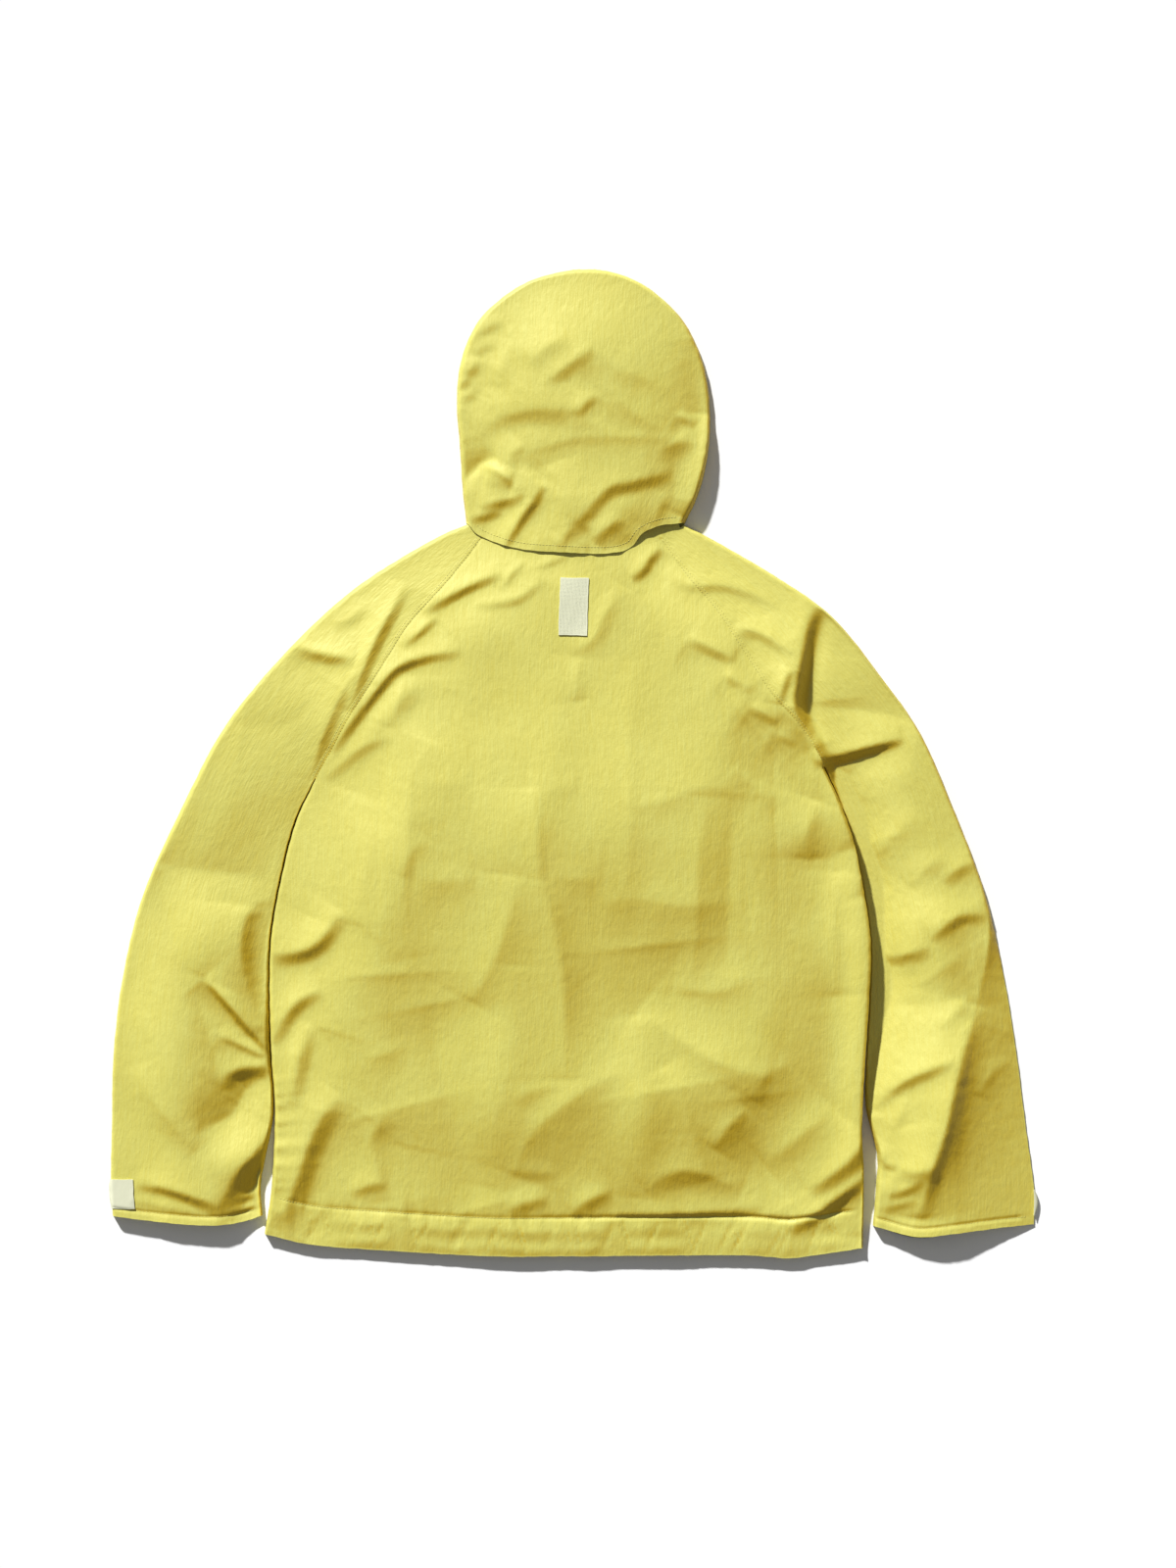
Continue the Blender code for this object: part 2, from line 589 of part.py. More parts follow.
def build_right_tab(sleeve, material):
    """The same tape on the right cuff lies on its front, so that only its bulged edge shows."""
    outer, normals = sleeve
    last = len(outer) - 1
    rim = between_rows(outer[last - 2:last][:, -2:], 4)
    out = between_rows(normals[last - 2:last][:, -2:], 4)
    foot = rim[:, -1:].copy()
    foot[..., 2] = 0.6
    base = np.concatenate([rim, foot], axis=1)
    away = np.concatenate([out, out[:, -1:]], axis=1)
    bulge = np.sin(np.pi * even(4)) * 2 * TAB_BULGE
    top = base + away * (TAPE_GAP + TAPE_WALL)
    top[:, 1:, 0] += bulge[:, None]
    wall_object("cuff_tab_right", top, base + away * TAPE_GAP, material)


def build_cuff_lining(material):
    """The strip of dark lining that peeks out under the right cuff."""
    edge = stations(smooth_curve(CUFF_RIGHT), np.linspace(0.09, 0.52, 8))
    rows = []
    for back in np.linspace(22.0, -LINING_SHOWS, 4):
        taper = np.sin(np.pi * np.linspace(0.12, 0.88, 8)) if back < 0 else 1.0
        row = np.column_stack([edge, np.full(8, WALL + TAPE_GAP)])
        row[:, 1] += back * taper
        rows.append(row)
    lower = np.array(rows)
    wall_object("cuff_lining_right", lower, lower + (0, 0, LINING_WALL), material)


def main():
    clear_scene()
    shell = cloth_material("citron_cloth", CITRON, 0.72)
    tape = cloth_material("off_white_tape", OFF_WHITE, 0.9)
    lining = cloth_material("navy_lining", NAVY, 0.8)
    back, _ = build_back(shell)
    build_fronts(shell)
    build_flap(shell)
    left = build_sleeve("left", OUTER_LEFT, ((0, 1), (0, 1)), RAGLAN_LEFT, RAGLAN_FRONT_LEFT,
                        INNER_LEFT, CUFF_LEFT, shell)
    right = build_sleeve("right", OUTER_RIGHT, ((6, 7), (5, 6)), RAGLAN_RIGHT, RAGLAN_FRONT_RIGHT,
                         INNER_RIGHT, CUFF_RIGHT, shell)
    build_hood(shell)
    build_neck_band(shell)
    build_patch(back, tape)
    build_left_tab(left, tape)
    build_right_tab(right, tape)
    build_cuff_lining(lining)


main()
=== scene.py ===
"""A citron raglan parka laid flat on its front, back up: its cloth, seams, tape and stitching.

The tables are in millimetres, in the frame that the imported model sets, and what is built from them
is in metres, +Z up.  The outlines are those of the part's own source, but for the inner edges of the
sleeves.  The cloth is thinner here and its crowns are lower.  Every upper piece takes its height
from one function of X and Y.  A fold is a crest with a gentle side on its left and a steep one on
its right, where the shade falls.
"""
import json
from collections import namedtuple

import bmesh
import bpy
import numpy as np
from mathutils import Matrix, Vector

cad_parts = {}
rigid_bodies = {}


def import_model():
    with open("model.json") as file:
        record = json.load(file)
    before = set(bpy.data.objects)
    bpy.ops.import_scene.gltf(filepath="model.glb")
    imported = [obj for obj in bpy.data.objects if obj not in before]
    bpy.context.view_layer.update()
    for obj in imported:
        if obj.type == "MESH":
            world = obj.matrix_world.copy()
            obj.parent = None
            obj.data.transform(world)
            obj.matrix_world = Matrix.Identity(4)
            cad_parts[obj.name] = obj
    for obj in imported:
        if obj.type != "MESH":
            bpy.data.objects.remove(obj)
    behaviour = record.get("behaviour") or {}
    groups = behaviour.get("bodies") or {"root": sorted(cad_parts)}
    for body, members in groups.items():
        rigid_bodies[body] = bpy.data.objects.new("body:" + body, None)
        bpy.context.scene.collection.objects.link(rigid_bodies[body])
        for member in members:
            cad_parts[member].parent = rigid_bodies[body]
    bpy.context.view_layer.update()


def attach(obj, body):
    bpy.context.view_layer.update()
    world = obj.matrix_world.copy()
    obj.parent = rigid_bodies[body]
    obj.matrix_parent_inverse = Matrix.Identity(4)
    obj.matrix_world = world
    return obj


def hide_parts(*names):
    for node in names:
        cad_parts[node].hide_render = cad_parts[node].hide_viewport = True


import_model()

MM = 0.001

# Cloth and seams
SHELL_WALL = 1.3              # one piece of shell cloth
SEAM_GAP = -0.8               # below 0, as sewn edges overlap by this
LAYER_GAP = 0.3
RIM_BULGE = 0.1               # how far a cut edge rounds out, as a share of the cloth
RUFFLE = 0.35                 # how far a point strays from its line, and over what distance
RUFFLE_PITCH = 9.0
RIM_HEIGHT = 1.7              # a folded edge comes down to here
CORNER = 2.6                  # how square the turn of a folded edge is: 2 is a quarter circle
EDGE_ROLL = 3.4               # how far in the cloth takes to turn level, and how far up
EDGE_RISE = 8.5
CROWN_REACH = 100.0           # how far in from an edge the cloth reaches its full height
LOWEST_TOP = 4.0
UNDERARM_LIFT = 45.0          # the cloth is as high over an underarm as this far in from an edge
UNDERARM_REACH = 50.0
FOLD_START = 3.0              # folds begin this far in from a folded edge
CRISP = 2.6                   # how round a crest is at its line
FOOT_REACH = 4.4              # how far the ground at a fold's foot takes to rise again
HOOD_OVERLAP = 2.2            # how far the hood lies above the back's height
Lip = namedtuple("Lip", "x y lift wide deep")
HOOD_DROOP = Lip(92, 234, 2.0, 36, 20)
FLAP_WIDTH = 58.0
FLAP_WALL = 1.4
FLAP_END = 4.0                # how far the flap stops short of the neck and the hem
FLAP_REACH = (31.0, 46.0)     # the fronts come down from the flap between these
BAND_SPAN = (0.12, 0.93)      # the stretch of the neck seam that the collar band follows
BAND_SLANT = (-4.0, 20.0)     # from the seam to the band's upper edge

# Sewing
HEM_CHANNEL = 38.0            # from the hem to the stitching of its channel
HEM_RIDGES = ((26.0, 6.5), (7.0, 6.0))    # where the channel's cloth stands up, and how broadly
HEM_PINCHES = ((15.0, 0.02, 42), (23.0, -0.02, 47), (31.0, 0.01, 48))    # spacing, slant, seed
HEM_SAG = 2.0                 # how much lower the hem itself lies
CUFF_STITCHING = 8.0
LIP_STITCHING = 6.0
RAGLAN_STITCHING = (1.2, 4.2)
STITCH_PITCH = 3.2
STITCH_LENGTH = 2.5
THREAD = 0.55
THREAD_STEP = 1.5             # between the points of a line of sewing
THREAD_LIFT = 0.12            # how far the thread's middle lies above the cloth

# Mesh: the spacing of the grids, and their lines near an edge, by the distance in from it
BODY_PITCH = 2.7
SLEEVE_PITCH = 2.4
HOOD_PITCH = 2.1
HIDDEN_PITCH = 7.0
HOOD_SIDE_PITCH = 5.0
SIDE_LENGTH = 470.0           # the side and the sleeve below the underarm, for counting rows
SLEEVE_LENGTH = 450.0
BODY_UNDERARM = 108           # the row of a grid that is level with the underarm
SLEEVE_UNDERARM = 120
HIDDEN_UNDERARM = 24
PLAIN = (0.0, 2.0, 5.0)
ROLLED = (0.0, 0.6, 1.6, 3.0, 4.8, 7.0)
SEAM = (0.0, 0.8, 2.0, 3.4, 5.0, 6.6, 8.4)
PAST_FLAP = (0.0, 10.0, 20.0, 31.0, 38.0, 46.0)
HEM_ROWS = (0.0, 0.6, 1.6, 3.2, 5.2, 7.6, 10.2, 12.8, 15.4, 18.0, 20.6, 23.2, 25.8, 28.4, 31.0, 33.4,
            35.4, 37.0, 38.0, 39.0, 40.4, 42.4, 44.8)
CUFF_ROWS = (0.0, 0.6, 1.6, 3.2, 5.0, 6.8, 8.0, 9.2, 11.0, 13.2)
LIP_ROWS = (0.0, 0.6, 1.6, 3.2, 4.8, 6.0, 7.2, 9.0)
CROWN_ROWS = (0.25, 0.8, 1.8, 3.2, 5.0, 7.2, 9.6, 12.0, 14.4, 16.6)
HOOD_FINE = 40.0              # what the fine rows at both ends of the hood are taken to cover
FRONT_ROWS = 66
SLEEVE_FRONT_ROWS = 64

# Edges of the pieces, each a smooth curve through (x, y)
HOOD_OUTLINE = [(-105, 239), (-109, 270), (-112, 316), (-115, 360), (-111, 399), (-97, 434),
                (-77, 457), (-39, 481), (15, 491), (62, 480), (101, 450), (123, 415),
                (134, 374), (136, 331), (132, 296), (123, 264), (111, 239)]
HOOD_CROWN = 8
NECK_SEAM = [(-105, 237), (-90, 224), (-54, 213), (-9, 209), (34, 208), (64, 214), (87, 222),
             (111, 236)]
HOOD_LIP = [(-105, 239), (-90, 225), (-54, 213), (-9, 209), (34, 208), (57, 214), (69, 228),
            (87, 236), (111, 239)]
NECK_FRONT = [(-105, 237), (-85, 208), (-48, 177), (3, 165), (55, 177), (93, 207), (111, 236)]
FACE_LEFT = [(13, 491), (12, 440), (-10, 398), (-29, 348), (-33, 292), (-22, 228), (1, 166)]
FACE_RIGHT = [(17, 491), (18, 440), (40, 398), (60, 348), (64, 292), (50, 228), (5, 166)]
OUTER_LEFT = [(-105, 237), (-137, 223), (-202, 184), (-250, 145), (-306, 87), (-351, 28),
              (-391, -50), (-426, -128), (-446, -206), (-456, -284), (-458, -362),
              (-459, -415), (-457, -449)]
OUTER_RIGHT = [(111, 236), (137, 223), (204, 184), (258, 145), (305, 87), (346, 28), (380, -50),
               (409, -128), (427, -206), (440, -284), (450, -362), (458, -422), (458, -458)]
BICEPS = 5                    # the point of those two that is level with the underarm
RAGLAN_LEFT = [(-90, 224), (-107, 201), (-130, 173), (-161, 139), (-182, 106), (-203, 73),
               (-223, 42), (-241, 9), (-256, -17)]
RAGLAN_RIGHT = [(87, 222), (114, 184), (142, 151), (170, 108), (195, 70), (220, 42), (238, 17),
                (250, -5)]
RAGLAN_FRONT_LEFT = [(-85, 208), (-112, 165), (-144, 121), (-180, 77), (-217, 33), (-256, -17)]
RAGLAN_FRONT_RIGHT = [(93, 207), (118, 169), (150, 126), (185, 83), (218, 38), (250, -5)]
SIDE_LEFT = [(-256, -17), (-276, -61), (-293, -131), (-301, -192), (-300, -283), (-296, -345),
             (-299, -419), (-306, -467)]
SIDE_RIGHT = [(250, -5), (267, -43), (280, -83), (293, -152), (296, -193), (293, -249),
              (289, -312), (287, -364), (289, -409), (288, -481)]
INNER_LEFT = [(-256, -17), (-277, -61), (-294, -131), (-302, -192), (-301, -283), (-298, -345),
              (-306, -391), (-311, -420), (-309, -449)]
INNER_RIGHT = [(250, -5), (268, -43), (281, -83), (294, -152), (297, -193), (295, -249),
               (292, -300), (292, -342), (303, -389), (302, -420), (299, -459)]
CUFF_LEFT = [(-457, -449), (-406, -455), (-360, -458), (-329, -455), (-309, -449)]
CUFF_RIGHT = [(299, -459), (340, -469), (378, -466), (422, -461), (458, -458)]
HEM = [(-306, -467), (-256, -478), (-176, -484), (-82, -489), (-6, -489), (15, -489),
       (163, -488), (211, -491), (241, -488), (288, -481)]
HEM_MIDDLE = 4
CENTRE_FRONT = [(3, 165), (-6, -489)]

# How high the cloth stands off the surface, away from its folded edges
Crown = namedtuple("Crown", "x y height reach")
CROWNS = [
    Crown(10, 385, 24, 110),
    Crown(15, 275, 23, 70),
    Crown(0, 150, 23, 90),
    Crown(0, -20, 29, 170),
    Crown(0, -260, 25, 160),
    Crown(-190, -490, 9, 100),
    Crown(0, -490, 9, 100),
    Crown(190, -490, 9, 100),
    Crown(-190, 130, 22, 80),
    Crown(-320, -50, 14, 80),
    Crown(-380, -250, 25, 90),
    Crown(-385, -440, 17, 80),
    Crown(180, 130, 26, 70),
    Crown(232, 4, 24, 45),
    Crown(252, 84, 23, 45),
    Crown(316, 60, 10, 48),
    Crown(340, -60, 17, 70),
    Crown(365, -260, 31, 90),
    Crown(365, -440, 24, 70),
]

# Where the body and a sleeve press together, so that the folded edge of each is upright
TIGHT_LEFT = [(-222, 44), (-256, -17), (-277, -61), (-294, -131), (-303, -200)]
TIGHT_RIGHT = [(232, 30), (250, -5), (268, -43), (281, -83), (294, -152), (297, -195), (295, -250),
               (291, -340), (288, -440)]
TIGHT_SHARE = 0.85
TIGHT_REACH = 26.0

# Where the right forearm's outer side begins, one dark plane down to the folded edge
FOREARM_CREASE = [(318, -540), (340, -440), (350, -408), (364, -375), (374, -335), (386, -290),
                  (400, -240), (414, -172), (408, -110)]

# Folds: the crest's path, its rise, the widths of its gentle and its steep side, and how deep the
# cloth dips at the foot of the steep side
Fold = namedtuple("Fold", "path rise gentle steep dip")
YOKE_FOLDS = [
    # left shoulder
    Fold([(-222, 52), (-209, 92), (-193, 128), (-177, 158), (-168, 178)], 4, 16, 6.5, 3),
    Fold([(-262, -16), (-247, 30), (-231, 66), (-217, 92)], 2, 12, 6, 1.5),
    Fold([(-279, 117), (-260, 112), (-238, 107), (-215, 104)], 4.5, 14, 7, 2),
    Fold([(-240, 138), (-222, 144), (-204, 158)], 1.2, 8, 6, 1),
    # right shoulder
    Fold([(276, -84), (261, -36), (247, -2), (237, 18), (226, 38), (219, 58), (222, 80),
          (227, 106), (232, 132),
          (242, 160)], 9, 17, 7.5, 8),
    Fold([(204, 58), (207, 76), (214, 94)], 2.6, 9, 4, 2),
    Fold([(92, 194), (112, 178), (150, 177), (181, 167), (206, 155)], 1.6, 11, 6, 1.4),
    Fold([(162, 134), (182, 131), (200, 121), (218, 108)], 2.2, 10, 6, 2),
    Fold([(236, 2), (262, 8), (292, 16), (328, 26)], 4.5, 26, 5, 4),
    Fold([(230, 56), (280, 54), (344, 42)], -5, 50, 22, 0),
    # back, along the left raglan seam
    Fold([(-240, 12), (-217, 44), (-197, 70), (-176, 94), (-147, 106), (-110, 112)], 3.8, 14, 5.5, 3),
    Fold([(-150, 150), (-123, 166), (-100, 178), (-70, 190)], 2.6, 11, 5.5, 2.6),
    Fold([(-170, 116), (-153, 130), (-135, 146)], 1.8, 7, 4.5, 1.8),
    Fold([(-100, 157), (-60, 162), (-43, 172), (-28, 184)], 1.1, 7, 5, 1),
    Fold([(-71, 171), (-63, 186), (-49, 200)], 0.9, 6, 4, 0.8),
    Fold([(-39, 194), (-22, 200), (-4, 206)], 0.8, 5, 4, 0.7),
    Fold([(-252, -20), (-233, -3), (-207, 17), (-174, 29)], 1.2, 8, 6, 0.8),
    Fold([(-182, 36), (-172, 62), (-163, 88)], 2, 12, 11, 1.4),
    # back, along the right raglan seam
    Fold([(114, 126), (134, 116), (162, 102)], 1.9, 10, 6, 1.8),
    Fold([(56, 184), (68, 192), (76, 204), (87, 216)], 2.6, 9, 5, 2.4),
    Fold([(150, 90), (163, 82), (176, 70)], 1.2, 7, 5, 1.2),
    Fold([(178, 58), (189, 50), (203, 40)], 1.6, 7, 5, 1.6),
    Fold([(203, 30), (211, 25), (221, 18)], 0.8, 5, 4, 0.6),
    Fold([(128, 96), (160, 58), (192, 22), (226, -22)], 0.8, 7, 5, 0.4),
    Fold([(146, 98), (172, 62), (200, 26), (222, -2)], 0.7, 6, 4, 0.4),
]
LEFT_SLEEVE_FOLDS = [
    # the elbow: a valley, the bright facet below it, and the drop beside the body
    Fold([(-416, -98), (-376, -106), (-340, -110), (-298, -118)], -3.4, 26, 34, 0),
    Fold([(-308, -266), (-320, -230), (-329, -195), (-327, -160), (-316, -141),
          (-298, -134)], 3.4, 34, 8, 1.6),
    Fold([(-364, -212), (-345, -233), (-326, -256), (-310, -274), (-298, -288)], 5.6, 14, 4, 4.6),
    Fold([(-350, -268), (-330, -278), (-314, -286), (-298, -291)], 2.2, 7, 4, 1.6),
    Fold([(-374, -366), (-340, -350), (-321, -321), (-295, -310)], -4.5, 16, 26, 0),
    Fold([(-350, -322), (-334, -304), (-297, -300)], 2.6, 10, 7, 3),
    # folded lines across the arm
    Fold([(-408, -98), (-378, -42), (-346, 44)], 2.4, 40, 26, 0),
    Fold([(-326, 40), (-294, 36), (-268, 50), (-244, 84)], -2.4, 34, 34, 0),
    # long soft creases down the forearm
    Fold([(-414, -108), (-400, -160), (-384, -204), (-364, -258), (-350, -310),
          (-342, -346)], -3.4, 22, 14, 0),
    Fold([(-448, -238), (-420, -262), (-400, -300), (-378, -352)], 1.2, 18, 12, 0),
    Fold([(-432, -300), (-416, -332), (-396, -358), (-374, -384)], 2.2, 18, 10, 0.6),
    # towards the cuff
    Fold([(-354, -450), (-334, -408), (-316, -386), (-300, -362)], 6, 26, 12, 8),
    Fold([(-434, -416), (-404, -421), (-375, -430), (-348, -440)], 3, 14, 5, 2.4),
    Fold([(-440, -432), (-400, -440), (-368, -446)], 1, 6, 4, 0.6),
    Fold([(-336, -436), (-324, -430), (-309, -428)], 1.6, 5, 3, 1.2),
    Fold([(-344, -446), (-328, -442), (-311, -438)], 1.4, 5, 3, 1.2),
    Fold([(-330, -424), (-318, -416), (-307, -407)], 1.4, 6, 3.5, 1.2),
]
RIGHT_SLEEVE_FOLDS = [
    Fold([(296, -96), (318, -70), (344, -50)], 2.6, 26, 20, 0),
    Fold([(334, -122), (349, -104), (372, -92)], 2, 16, 12, 0),
    Fold([(366, -118), (382, -104), (400, -98)], 2, 10, 7, 1.4),
    Fold([(352, -172), (368, -160), (386, -150), (412, -150)], 3.4, 20, 7, 1.6),
    Fold([(300, -190), (325, -190), (353, -181)], 3.4, 34, 7, 1.2),
    Fold([(300, -238), (350, -240), (404, -228)], -3, 26, 34, 0),
    Fold([(340, -222), (362, -206), (388, -190)], 1, 9, 7, 0),
    Fold([(362, -262), (380, -244), (396, -226)], 1.4, 10, 7, 0.4),
    # the long crease down the forearm
    Fold([(346, -452), (352, -408), (366, -370), (376, -330), (388, -285), (400, -240)], 8, 40, 20, 0),
    Fold([(344, -452), (354, -408), (366, -370), (374, -330), (383, -290),
          (394, -256)], 4.5, 30, 8, 2.5),
    Fold([(402, -330), (416, -306), (436, -296)], 1.6, 12, 9, 0),
    Fold([(298, -342), (315, -323), (337, -309), (378, -291)], 4.4, 26, 7, 2),
    # cuff
    Fold([(322, -400), (340, -404), (362, -398)], 2.6, 12, 8, 2),
    Fold([(312, -374), (322, -352), (329, -332)], 1, 8, 6, 0.6),
    Fold([(294, -371), (304, -383), (313, -391)], 1.4, 6, 3.5, 1.2),
    Fold([(300, -383), (309, -394), (321, -401)], 1.8, 6, 4, 1.6),
    Fold([(312, -428), (329, -422), (347, -412)], 2, 9, 4.5, 1.6),
    Fold([(308, -442), (322, -437), (341, -432)], 1.2, 7, 4, 0.8),
]
BACK_FOLDS = [
    # left side
    Fold([(-158, -192), (-167, -140), (-163, -60), (-158, -10), (-136, 22)], 3, 45, 15, 0),
    Fold([(-168, -112), (-160, -90), (-146, -72)], 1.3, 10, 9, 0),
    Fold([(-154, -20), (-128, -20), (-98, -20)], 1.3, 30, 14, 0),
    Fold([(-156, -114), (-128, -116), (-96, -114)], 1.8, 34, 18, 0),
    Fold([(-215, -160), (-207, -110), (-190, -60)], 1.8, 34, 24, 0),
    Fold([(-302, -190), (-270, -186), (-250, -174), (-230, -146)], 4.4, 24, 8, 3.4),
    Fold([(-298, -278), (-286, -252), (-270, -234), (-248, -224)], 3.2, 14, 7, 2.6),
    Fold([(-279, -338), (-272, -294), (-262, -258)], 2.5, 10, 8, 3),
    Fold([(-294, -462), (-276, -420), (-264, -382), (-250, -352), (-232, -328)], 5.4, 26, 11, 4),
    Fold([(-190, -436), (-194, -404), (-200, -372), (-182, -346)], 2.5, 16, 10, 1),
    Fold([(-222, -426), (-202, -418), (-184, -416)], 1.7, 10, 6, 1),
    Fold([(-206, -294), (-186, -288), (-166, -280)], 0.8, 8, 6, 0),
    # the long drapes of the middle
    Fold([(-6, -312), (-8, -264), (-10, -208), (-22, -150), (-34, -100), (-36, -24)], 5.9, 36, 18, 1),
    Fold([(-100, -236), (-76, -190), (-64, -150), (-58, -112)], 4, 34, 22, 0),
    Fold([(-92, -440), (-112, -372), (-128, -320), (-144, -240)], -5.5, 36, 36, 0),
    Fold([(-44, -22), (-20, -23), (6, -22)], 1.5, 30, 16, 0),
    Fold([(-24, -114), (0, -114), (30, -114)], 1.5, 26, 18, 0),
    Fold([(24, -136), (66, -134), (104, -140), (172, -136)], 2.9, 40, 30, 0),
    Fold([(52, -42), (84, -38), (122, -26), (168, -22)], 2.2, 40, 16, 0),
    Fold([(54, -170), (55, -60), (56, 40), (60, 100)], 1.5, 26, 12, 0),
    Fold([(118, -230), (122, -160), (124, -90), (130, -34)], 3.2, 28, 20, 0),
    Fold([(152, -210), (154, -150), (156, -90), (160, -30)], -2.5, 14, 30, 0),
    Fold([(6, 62), (4, 80), (6, 104)], 1.7, 12, 9, 0),
    Fold([(-4, 108), (20, 124), (32, 148), (48, 176)], 2.9, 12, 14, 0),
    Fold([(-58, -408), (-44, -374), (-20, -347), (14, -322), (50, -302)], 4.2, 28, 32, 0),
    Fold([(-66, -402), (-44, -404), (-14, -406)], 0.8, 8, 6, 0.6),
    Fold([(-60, -334), (-34, -322), (-14, -318)], 0.8, 10, 7, 0.4),
    # right side
    Fold([(157, -5), (171, -16), (187, -30), (200, -48)], 1.2, 8, 8, 0),
    Fold([(100, -222), (140, -226), (178, -212)], 1.7, 18, 14, 0),
    Fold([(66, -244), (110, -276), (150, -298), (196, -312)], 3.8, 34, 20, 0),
    Fold([(132, -414), (120, -370), (108, -332), (92, -300)], 3.4, 28, 18, 0),
    Fold([(140, -382), (154, -360), (172, -342)], 3.4, 12, 18, 0),
    Fold([(232, -94), (233, -66), (242, -38)], 3.8, 20, 18, 0),
    Fold([(262, -230), (258, -170), (262, -108)], 3.8, 20, 20, 0),
    Fold([(176, -332), (190, -310), (214, -296)], 2.2, 18, 18, 0),
    Fold([(190, -398), (222, -372), (256, -340)], 4.2, 30, 30, 0),
    # above the hem channel
    Fold([(232, -424), (256, -408), (276, -390), (292, -366)], 4.5, 24, 9, 3),
    Fold([(210, -462), (238, -448), (262, -430), (292, -408)], 4.5, 13, 7, 4),
    Fold([(40, -446), (90, -447), (140, -444), (192, -440)], 2.4, 24, 5, 1),
    Fold([(72, -424), (92, -408), (120, -404), (168, -422)], 3.4, 22, 12, 1),
    Fold([(-2, -446), (14, -434), (38, -422)], 3, 12, 8, 1),
    Fold([(-66, -444), (-48, -436), (-24, -430)], 2, 10, 7, 1),
]
HOOD_FOLDS = [
    Fold([(-30, 378), (-10, 390), (6, 402), (20, 414)], 1.7, 10, 7, 1.4),
    Fold([(-46, 396), (-30, 410), (-4, 424)], 1.4, 12, 9, 1.2),
    Fold([(-98, 326), (-60, 346), (-20, 350), (8, 350), (24, 368)], 1.9, 16, 16, 0.6),
    Fold([(4, 344), (10, 354), (22, 366)], 1.2, 6, 5, 1),
    Fold([(10, 345), (7, 370), (6, 392)], 0.6, 6, 5, 0.5),
    Fold([(38, 374), (50, 356), (66, 344), (88, 330)], 0.9, 12, 7, 0.7),
    Fold([(40, 392), (70, 382), (98, 366)], 0.7, 16, 9, 0.6),
    Fold([(82, 308), (100, 316), (124, 320)], 1.3, 9, 9, 1),
    Fold([(104, 346), (114, 340), (120, 334)], 1.2, 6, 4, 1),
    Fold([(-26, 319), (15, 322), (64, 323), (120, 320)], 0.5, 6, 5, 0.3),
    # the bulge at the lower left and the slit beside it
    Fold([(-113, 274), (-104, 284), (-92, 297), (-74, 305)], -3.6, 9, 5, 0),
    Fold([(-92, 294), (-76, 290), (-60, 278), (-50, 262)], 1.8, 7, 4, 1),
    Fold([(-94, 256), (-72, 260), (-48, 266)], 2.4, 9, 5.5, 2),
    Fold([(-102, 243), (-86, 247), (-70, 252)], 1.6, 6, 4.5, 1.4),
    Fold([(-70, 212), (-60, 230), (-49, 247), (-39, 261), (-30, 278)], 3.4, 10, 4.5, 2.2),
    Fold([(-66, 296), (-60, 306), (-50, 316)], 1.8, 10, 10, 1.4),
    Fold([(-42, 262), (-44, 284), (-50, 306)], 1.4, 10, 9, 1.2),
    # the long fold at the lower right
    Fold([(-8, 222), (6, 240), (22, 260), (38, 274), (66, 281), (100, 291)], 2.8, 20, 7.5, 2.6),
    Fold([(18, 220), (32, 232), (48, 244)], 1.5, 8, 6, 1.3),
    Fold([(-14, 214), (-8, 226), (-2, 240)], 1.2, 7, 5, 1),
    Fold([(80, 236), (84, 252), (90, 268)], 1, 9, 6, 0.8),
    # short creases in from the left edge
    Fold([(-100, 424), (-84, 434), (-68, 440)], 1.2, 8, 6, 1),
    Fold([(-112, 372), (-104, 388), (-94, 402)], 1.5, 8, 6, 1.4),
    Fold([(-112, 356), (-104, 366), (-94, 376)], 1.1, 7, 5, 1),
    Fold([(-72, 372), (-70, 396), (-58, 416)], 1, 12, 9, 0.8),
    Fold([(-102, 407), (-90, 413), (-75, 418)], 0.9, 7, 5, 0.8),
]

# Hollows, or swellings where the depth is negative, centred on their path
Hollow = namedtuple("Hollow", "path width depth")
YOKE_HOLLOWS = [
    Hollow([(-118, 232), (-9, 203), (122, 232)], 16, 1.5),
    Hollow([(-226, 2), (-196, 36), (-172, 66), (-140, 80)], 12, -2),
]
LEFT_SLEEVE_HOLLOWS = [
    Hollow([(-314, -150), (-310, -190), (-312, -260)], 13, 2),
    Hollow([(-340, -140), (-345, -180), (-360, -215)], 34, -3),
    Hollow([(-372, -352), (-338, -345), (-300, -318)], 20, 2),
    Hollow([(-368, -400), (-330, -392), (-302, -372)], 20, -3),
]
RIGHT_SLEEVE_HOLLOWS = [
    Hollow([(248, 158), (238, 110), (234, 66), (240, 20)], 12, 5),
    Hollow([(262, -10), (288, -90), (302, -200), (298, -260), (296, -350)], 24, 8),
    Hollow([(240, 16), (256, -14), (270, -56), (286, -110)], 11, 6),
    Hollow([(300, -150), (345, -165), (385, -140)], 34, -3),
    Hollow([(330, -360), (345, -400), (350, -450)], 26, -3),
]
BACK_HOLLOWS = [
    Hollow([(-190, -64), (0, -70), (200, -64)], 90, -8),
    Hollow([(-215, -30), (-240, -100), (-262, -150)], 34, -3),
    Hollow([(-190, -210), (-185, -280), (-170, -340)], 60, 4),
    Hollow([(80, -180), (90, -260), (100, -320)], 60, 4),
    Hollow([(64, -250), (70, -340), (62, -430)], 24, -4),
    Hollow([(-60, -200), (-66, -300), (-84, -420)], 26, -3),
    Hollow([(180, -330), (190, -400), (210, -440)], 40, 3),
    Hollow([(240, 0), (272, -80), (286, -190), (284, -300), (280, -460)], 13, -2),
]
